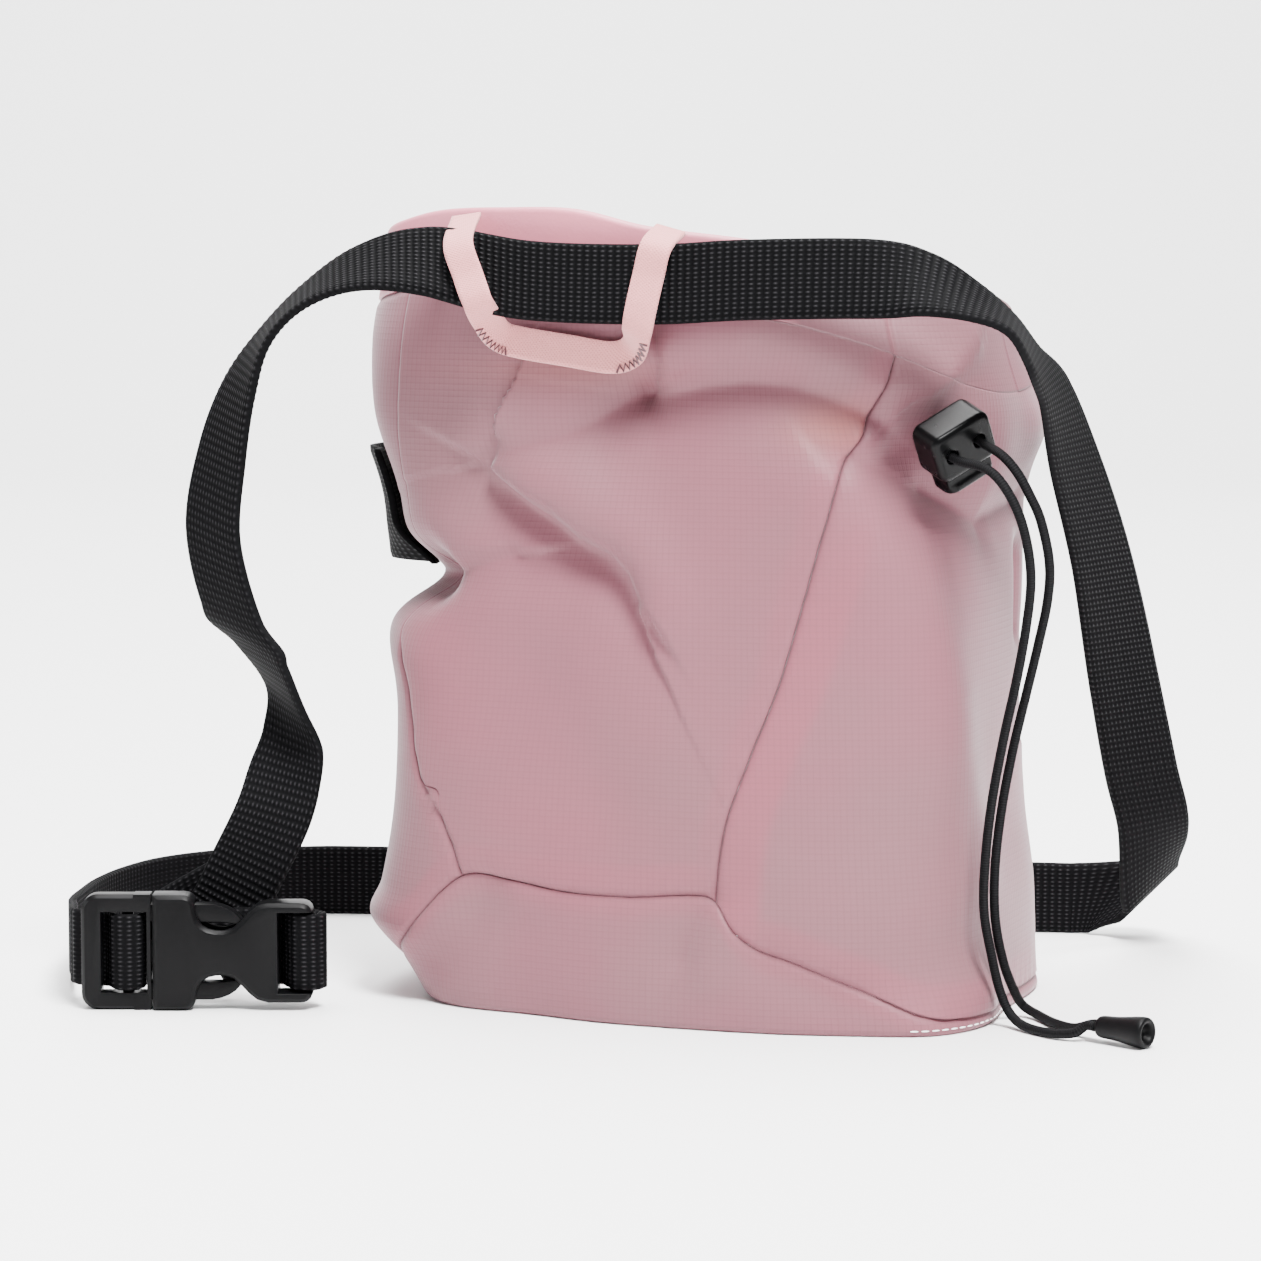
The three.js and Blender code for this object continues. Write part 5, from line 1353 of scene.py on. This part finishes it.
class WallsOperator(bpy.types.Operator):
    """Makes the four cloth panels of the bag's body."""

    bl_idname = "chalk_bag.walls"
    bl_label = "Cloth walls"

    def execute(self, context):
        scene = context.scene
        sizes = scene.chalk_bag_sizes
        shape = BagShape(sizes)
        cloth = cloth_finish(sizes, scene.chalk_bag_colours)
        seams = {
            "left": lambda z: read(LEFT_SEAM, "height", z / sizes.height, "angle"),
            "right": lambda z: read(RIGHT_SEAM, "height", z / sizes.height, "angle"),
            "back": lambda z: np.full(z.shape, float(BACK_SEAM)),
            "back before": lambda z: np.full(z.shape, BACK_SEAM - 360.0),
        }
        panels = [
            ("front_cloth", "front_panel", "left", "right", 170),
            ("right_cloth", "right_panel", "right", "back", 190),
            ("left_cloth", "left_panel", "back before", "left", 150),
        ]
        for name, node, start, end, columns in panels:
            piece = self.panel(shape, name, seams[start], seams[end], columns)
            settle(piece, cloth, nodes=[node])
        settle(self.base(shape), cloth, nodes=["base_panel"])
        return {"FINISHED"}

    def panel(self, shape, name, start, end, columns):
        """One wall between two seams."""
        sizes = shape.sizes
        u = fine_at_ends(columns, 0.012, 0.003)[None, :]
        v = fine_at_ends(170, 0.012, 0.003)[:, None]
        z = sizes.seam_rise + (sizes.height - sizes.rim_height - sizes.seam_rise) * v + 0 * u
        angle = z * 0
        for _ in range(10):
            edge = np.degrees(SEAM_GAP / shape.radius(start(z), z))
            angle = start(z) + edge + (end(z) - start(z) - 2 * edge) * u
            shut = SEAM_GAP * (1 - 0.9 * right_side(angle))
            low, high = shape.seam(angle) + SEAM_GAP, shape.wall_top(angle) - shut
            z = low + (high - low) * v
        reach = shape.radius(angle, z)
        from_start = np.radians(angle - start(z)) * reach
        from_end = np.radians(end(z) - angle) * reach
        from_base = z - shape.seam(angle)
        from_rim = shape.wall_top(angle) - z
        # the left seam lies flat from the middle upwards, and the rim's seam at the right side
        flat = 6 * MM * np.clip((z / sizes.height - 0.44) / 0.1, 0, 1)
        if name == "front_cloth":
            from_start = from_start + flat
        if name == "left_cloth":
            from_end = from_end + flat
        from_rim = from_rim + 6 * MM * right_side(angle)
        low_seam = np.clip((9 * MM - shape.seam(angle)) / (4 * MM), 0, 1)
        from_base_line = from_base + 4 * MM * low_seam
        near = np.minimum(np.minimum(from_start, from_end), np.minimum(from_base_line, from_rim))
        pull = np.minimum(np.minimum(from_start, from_end), from_base)
        along = np.where(from_base < np.minimum(from_start, from_end), np.radians(angle) * reach, z)
        pucker = np.exp(-pull / (3.5 * MM)) * np.sin(along / MM * 0.9 + 2 * np.sin(along / MM / 7))
        dip = -SEAM_DIP * fading(near, DIP_WIDTH) + 0.10 * pucker
        outer = shape.wall(angle, z, dip * MM)
        inner = shape.wall(angle, z, -sizes.cloth)
        points, faces = closed_sheet(outer, inner)
        uv = np.stack([shape.arc_length(angle), z], -1) * 10
        blush, coral = self.tints(shape, name, angle, z, from_start, from_end, from_base)
        # the crease value carries painted shade: the cloth darkens along its seams' grooves
        crease = fading(near, SEAM_SHADE_WIDTH)
        values = {"blush": blush, "coral": coral, "crease": crease}
        twice = {key: np.concatenate([at.ravel(), at.ravel()]) for key, at in values.items()}
        return mesh_object(name, points, faces, np.concatenate([uv, uv]).reshape(-1, 2), twice)

    def tints(self, shape, name, angle, z, from_start, from_end, from_base):
        """Where the cloth is pinker, and where its coral backing shines through."""
        share = z / shape.sizes.height

        def band(value, wide):
            return 1 / (1 + np.exp((value - wide) / (0.5 * MM)))

        def patch(at, height, wide, tall):
            dx = np.radians((angle - at + 180) % 360 - 180) * shape.around / wide
            return np.exp(-(dx**2) - ((share - height) * shape.sizes.height / tall) ** 2)

        blush = 0.55 * band(from_base, 7 * MM)
        coral = 0 * z
        if name == "right_cloth":
            low = 1 / (1 + np.exp((share - 0.60) / 0.03))
            blush = np.maximum(blush, 0.8 * band(from_start, 9 * MM) * low)
        else:
            blush = np.maximum(blush, 0.35 * band(np.minimum(from_start, from_end), 5 * MM))
        if name == "front_cloth":
            for *place, strength in CORAL_PATCHES:
                coral = coral + strength * patch(*place)
            for *place, strength in PINK_PATCHES:
                blush = np.maximum(blush, strength * patch(*place))
        return np.clip(blush, 0, 1), np.clip(coral, 0, 1)

    def base(self, shape):
        """The base: its low wall and its floor, in one closed shell."""
        sizes = shape.sizes
        angles = np.arange(0, 360, 0.75)
        top = shape.seam(angles) - SEAM_GAP
        toe = np.minimum(1.4 * MM, top / 3)
        rings, near = [], []

        def add(z, inwards, from_top):
            rings.append(shape.wall(angles, z, -inwards))
            near.append(from_top)

        for share in (0.15, 0.4, 0.7):
            ring = shape.wall(angles, toe * 0, -toe) * np.array([share, share, 1])
            rings.append(ring)
            near.append(top)
        for turn in np.radians((0, 20, 45, 70)):
            add(toe * (1 - math.cos(turn)), toe * (1 - math.sin(turn)), top)
        for share in fine_at_ends(22, 0.03, 0.01):
            z = toe + (top - toe) * share
            gap = top - z
            dip = SEAM_DIP * MM * fading(gap, DIP_WIDTH)
            add(z, dip, gap)
        for share in (1.0, 0.6, 0.2):
            add(toe + (top - toe) * share, sizes.cloth, top)
        add(sizes.cloth + 0 * toe, sizes.cloth, top)
        for share in (0.7, 0.4, 0.15):
            ring = shape.wall(angles, toe * 0 + sizes.cloth, -sizes.cloth)
            rings.append(ring * np.array([share, share, 1]))
            near.append(top)
        grid = np.stack(rings)
        rows, columns = grid.shape[:2]
        faces = grid_faces(rows, columns, closed_columns=True).tolist()
        points = grid.reshape(-1, 3).tolist() + [[0, 0, 0], [0, 0, sizes.cloth]]
        low, high = rows * columns, rows * columns + 1
        last = (rows - 1) * columns
        for k in range(columns):
            follow = (k + 1) % columns
            faces.append([follow, k, low])
            faces.append([last + k, last + follow, high])
        arc = np.broadcast_to(shape.arc_length(angles), (rows, columns))
        uv = np.stack([arc, grid[..., 2]], -1).reshape(-1, 2) * 10
        uv = np.concatenate([uv, [[0, 0], [0, 0]]])
        near = np.stack(near)
        # the crease value carries painted shade: the cloth darkens in the groove of the base's seam
        crease = fading(near, SEAM_SHADE_WIDTH).ravel()
        blush = (0.45 / (1 + np.exp((near - 4 * MM) / (0.6 * MM)))).ravel()
        zeros = np.zeros(2)
        values = {
            "crease": np.concatenate([crease, zeros]),
            "blush": np.concatenate([blush, zeros]),
            "coral": np.zeros(len(points)),
        }
        return mesh_object("base_cloth", points, faces, uv, values)


class RimOperator(bpy.types.Operator):
    """Makes the coated band round the mouth."""

    bl_idname = "chalk_bag.rim"
    bl_label = "Rim"

    def execute(self, context):
        scene = context.scene
        sizes = scene.chalk_bag_sizes
        shape = BagShape(sizes)
        angles = np.arange(0, 360, 0.3)
        side = right_side(angles)
        top = shape.rim_top(angles)
        foot = shape.wall_top(angles) + SEAM_GAP * (1 - 0.9 * side)
        thick = sizes.rim_thick
        outline = [(0, -0.5), (0.03, -0.1), (0.1, 0.02)] + [(s, 0.0) for s in (0.25, 0.45, 0.65, 0.8)]
        turns = np.radians(np.arange(0, 181, 20))
        seam = read(RIGHT_SEAM, "height", foot / sizes.height, "angle")
        from_seam = np.abs(np.radians(angles - seam)) * shape.radius(angles, foot)
        # the crease value is painted shade: the groove of the right seam, and the rim's foot where it
        # meets the wall
        groove = fading(from_seam, 0.7 * MM)
        rings, crease = [], []
        for share, out in outline:
            dip = out * (1 - side) - 0.5 * groove
            rings.append(shape.wall(angles, foot + (top - thick / 2 - foot) * share, dip * MM))
            edge = math.exp(-((share / 0.03) ** 2))
            crease.append(np.maximum(edge * (1 - side), groove))
        for turn in turns:
            z = top - thick / 2 + thick / 2 * math.sin(turn)
            rings.append(shape.wall(angles, z, -thick / 2 * (1 - math.cos(turn))))
            crease.append(0 * angles)
        for share in (0.8, 0.5, 0.2, 0.0):
            rings.append(shape.wall(angles, foot + (top - thick / 2 - foot) * share, -thick))
            crease.append(0 * angles)
        grid = np.stack(rings, 1)
        points, faces = swept(grid, closed=True)
        arc = np.broadcast_to(shape.arc_length(angles)[:, None], grid.shape[:2])
        uv = np.stack([arc, grid[..., 2]], -1) * 10
        values = {
            "crease": np.stack(crease, 1),
            "ripstop": np.repeat(side, grid.shape[1]),
        }
        piece = mesh_object("rim_cloth", points, faces, uv, values)
        settle(piece, rim_finish(sizes, scene.chalk_bag_colours), nodes=["rim_band"])
        return {"FINISHED"}


class BeltOperator(bpy.types.Operator):
    """Makes the waist belt from its tables, with its ribs and its sewn end."""

    bl_idname = "chalk_bag.belt"
    bl_label = "Waist belt"

    def execute(self, context):
        scene = context.scene
        sizes, colours = scene.chalk_bag_sizes, scene.chalk_bag_colours
        middles, across, ribs = belt_rows(sizes)
        belt = Ribbon(middles, across, sizes.webbing_width, sizes.webbing_thick, 0.42 * MM)
        piece = belt.build("belt_webbing", {"ribs": (np.arange(len(ribs)), ribs)})
        weave = webbing_finish("black webbing", sizes, colours)
        values = {"Pitch": sizes.rib_pitch, "Rise": sizes.rib_height, "Finish": weave}
        run_group(piece, rib_group(), values)
        settle(piece, weave, nodes=["waist_belt"])

        # the sewn end behind the buckle: a box of stitches through both layers
        corners = [(7.6, -0.75), (8.4, -0.75), (8.4, 0.75), (7.6, 0.75), (7.6, -0.75), (8.4, 0.75)]
        box = []
        for (a, s), (b, t) in zip(corners, corners[1:]):
            steps = np.linspace(0, 1, 12, endpoint=False)
            box.append(belt.point(a + (b - a) * steps, s + (t - s) * steps, 0.1 * MM))
        black = thread_finish("black thread", (0.02, 0.02, 0.021))
        row = {"Pitch": BOX_THREAD["pitch"], "Stitch": sizes.stitch}
        sew("belt_box_stitch", [np.concatenate(box)], black, "webbing", BOX_THREAD["thick"], **row)
        return {"FINISHED"}


class LoopsOperator(bpy.types.Operator):
    """Makes the belt loop with its bartacks, the brush loop and the base's edge stitches."""

    bl_idname = "chalk_bag.loops"
    bl_label = "Loops"

    def execute(self, context):
        scene = context.scene
        sizes, colours = scene.chalk_bag_sizes, scene.chalk_bag_colours
        shape = BagShape(sizes)
        tape = tape_ribbon(shape)
        piece = tape.build("belt_loop_tape")
        settle(piece, tape_finish(colours), nodes=["belt_loop"])

        low, high = TACKS["edges"]
        tacks = [
            zigzag(tape, start, end, low, high, TACKS["turns"], TACKS["lift"])
            for start, end in TACKS["rows"]
        ]
        rose = thread_finish("rose thread", colours.tack)
        sew("belt_loop_bartacks", tacks, rose, "tape", TACKS["thick"])

        self.brush_loop(shape, colours)
        self.base_stitches(shape)
        return {"FINISHED"}

    def brush_loop(self, shape, colours):
        """The band at the left side, standing off the wall between its sewn ends."""
        sizes = shape.sizes
        along = fine_at_ends(90, 0.01, 0.004)[None, :]
        up = np.linspace(0, 1, 42)[:, None]
        band = BRUSH_BAND
        angle = band["from"] + band["turn"] * along + 0 * up
        z = sizes.height * band["low"] + sizes.brush_width * up + 0 * along
        share = np.clip((along - band["tab"]) / (1 - 2 * band["tab"]), 0, 1)
        opened = np.sin(math.pi * share ** band["lean"])
        hollow = band["bridge"] * np.minimum(shape.fold_rise(angle, z), 0)
        off = band["stand"] + opened * (band["bulge"] - hollow)
        edge = 0.35 * MM * fading(np.minimum(up, 1 - up), 0.03)
        outer = shape.wall(angle, z, off + band["thick"] - edge)
        inner = shape.wall(angle, z, off)
        points, faces = closed_sheet(outer, inner)
        run = shape.arc_length(angle)
        uv = np.stack([z * 10, run * 10], -1)
        body = np.minimum(up, 1 - up) / 0.06 + 0 * along
        ones = np.ones(angle.size * 2)
        values = {"ribs": ones * 0.7, "body": np.clip(np.concatenate([body, body]), 0, 1)}
        piece = mesh_object("brush_loop_band", points, faces, np.concatenate([uv, uv]), values)
        finish = webbing_finish("black band", sizes, colours)
        settle(piece, finish, nodes=["brush_loop"])

    def base_stitches(self, shape):
        """Pale stitches along the base's lower right edge."""
        angle = np.linspace(322, 347, 60)
        z = np.full(angle.shape, 1.3 * MM)
        line = shape.wall(angle, z, 0.05 * MM)
        pale = thread_finish("pale thread", (0.75, 0.66, 0.66))
        row = {"Pitch": EDGE_THREAD["pitch"], "Stitch": shape.sizes.stitch}
        sew("base_edge_stitches", [line], pale, "cloth", EDGE_THREAD["thick"], **row)


class BuckleOperator(bpy.types.Operator):
    """Makes the two halves of the side-release buckle."""

    bl_idname = "chalk_bag.buckle"
    bl_label = "Buckle"

    def execute(self, context):
        colours = context.scene.chalk_bag_colours
        satin = plastic_finish("buckle plastic", colours, 0.36)
        for node, name in (("buckle_female", "buckle_body"), ("buckle_male", "buckle_frame")):
            piece = refined_copy(node, name, 0.00055, segments=3)
            settle(piece, satin, nodes=[node])
        return {"FINISHED"}


class CordLockOperator(bpy.types.Operator):
    """Makes the cord lock's housing and its plunger."""

    bl_idname = "chalk_bag.cord_lock"
    bl_label = "Cord lock"

    def execute(self, context):
        colours = context.scene.chalk_bag_colours
        gloss = plastic_finish("lock plastic", colours, 0.22)
        housing = softened_copy("cord_lock_housing", "lock_housing")
        settle(housing, gloss, nodes=["cord_lock_housing"])
        plunger = softened_copy("cord_lock_plunger", "lock_plunger")
        settle(plunger, gloss, body="plunger", nodes=["cord_lock_plunger"])
        return {"FINISHED"}


OPERATORS = (
    StageOperator,
    CordsOperator,
    WallsOperator,
    RimOperator,
    BeltOperator,
    LoopsOperator,
    BuckleOperator,
    CordLockOperator,
)


class ChalkBagPanel(bpy.types.Panel):
    """Lists the operators and the sizes of the chalk bag."""

    bl_idname = "VIEW3D_PT_chalk_bag"
    bl_label = "Chalk bag"
    bl_space_type = "VIEW_3D"
    bl_region_type = "UI"
    bl_category = "Chalk bag"

    def draw(self, context):
        layout = self.layout
        for group in (context.scene.chalk_bag_sizes, context.scene.chalk_bag_colours):
            box = layout.box()
            for key in group.bl_rna.properties.keys():
                if key not in ("rna_type", "name"):
                    box.prop(group, key)
        for operator in OPERATORS:
            layout.operator(operator.bl_idname)


CLASSES = (BagSizes, BagColours, *OPERATORS, ChalkBagPanel)


def register():
    for cls in CLASSES:
        bpy.utils.register_class(cls)
    bpy.types.Scene.chalk_bag_sizes = PointerProperty(type=BagSizes)
    bpy.types.Scene.chalk_bag_colours = PointerProperty(type=BagColours)


def unregister():
    del bpy.types.Scene.chalk_bag_colours
    del bpy.types.Scene.chalk_bag_sizes
    for cls in reversed(CLASSES):
        bpy.utils.unregister_class(cls)


def main():
    register()
    bpy.ops.chalk_bag.stage()
    bpy.ops.chalk_bag.cords()
    bpy.ops.chalk_bag.walls()
    bpy.ops.chalk_bag.rim()
    bpy.ops.chalk_bag.belt()
    bpy.ops.chalk_bag.loops()
    bpy.ops.chalk_bag.buckle()
    bpy.ops.chalk_bag.cord_lock()


if __name__ == "__main__":
    main()
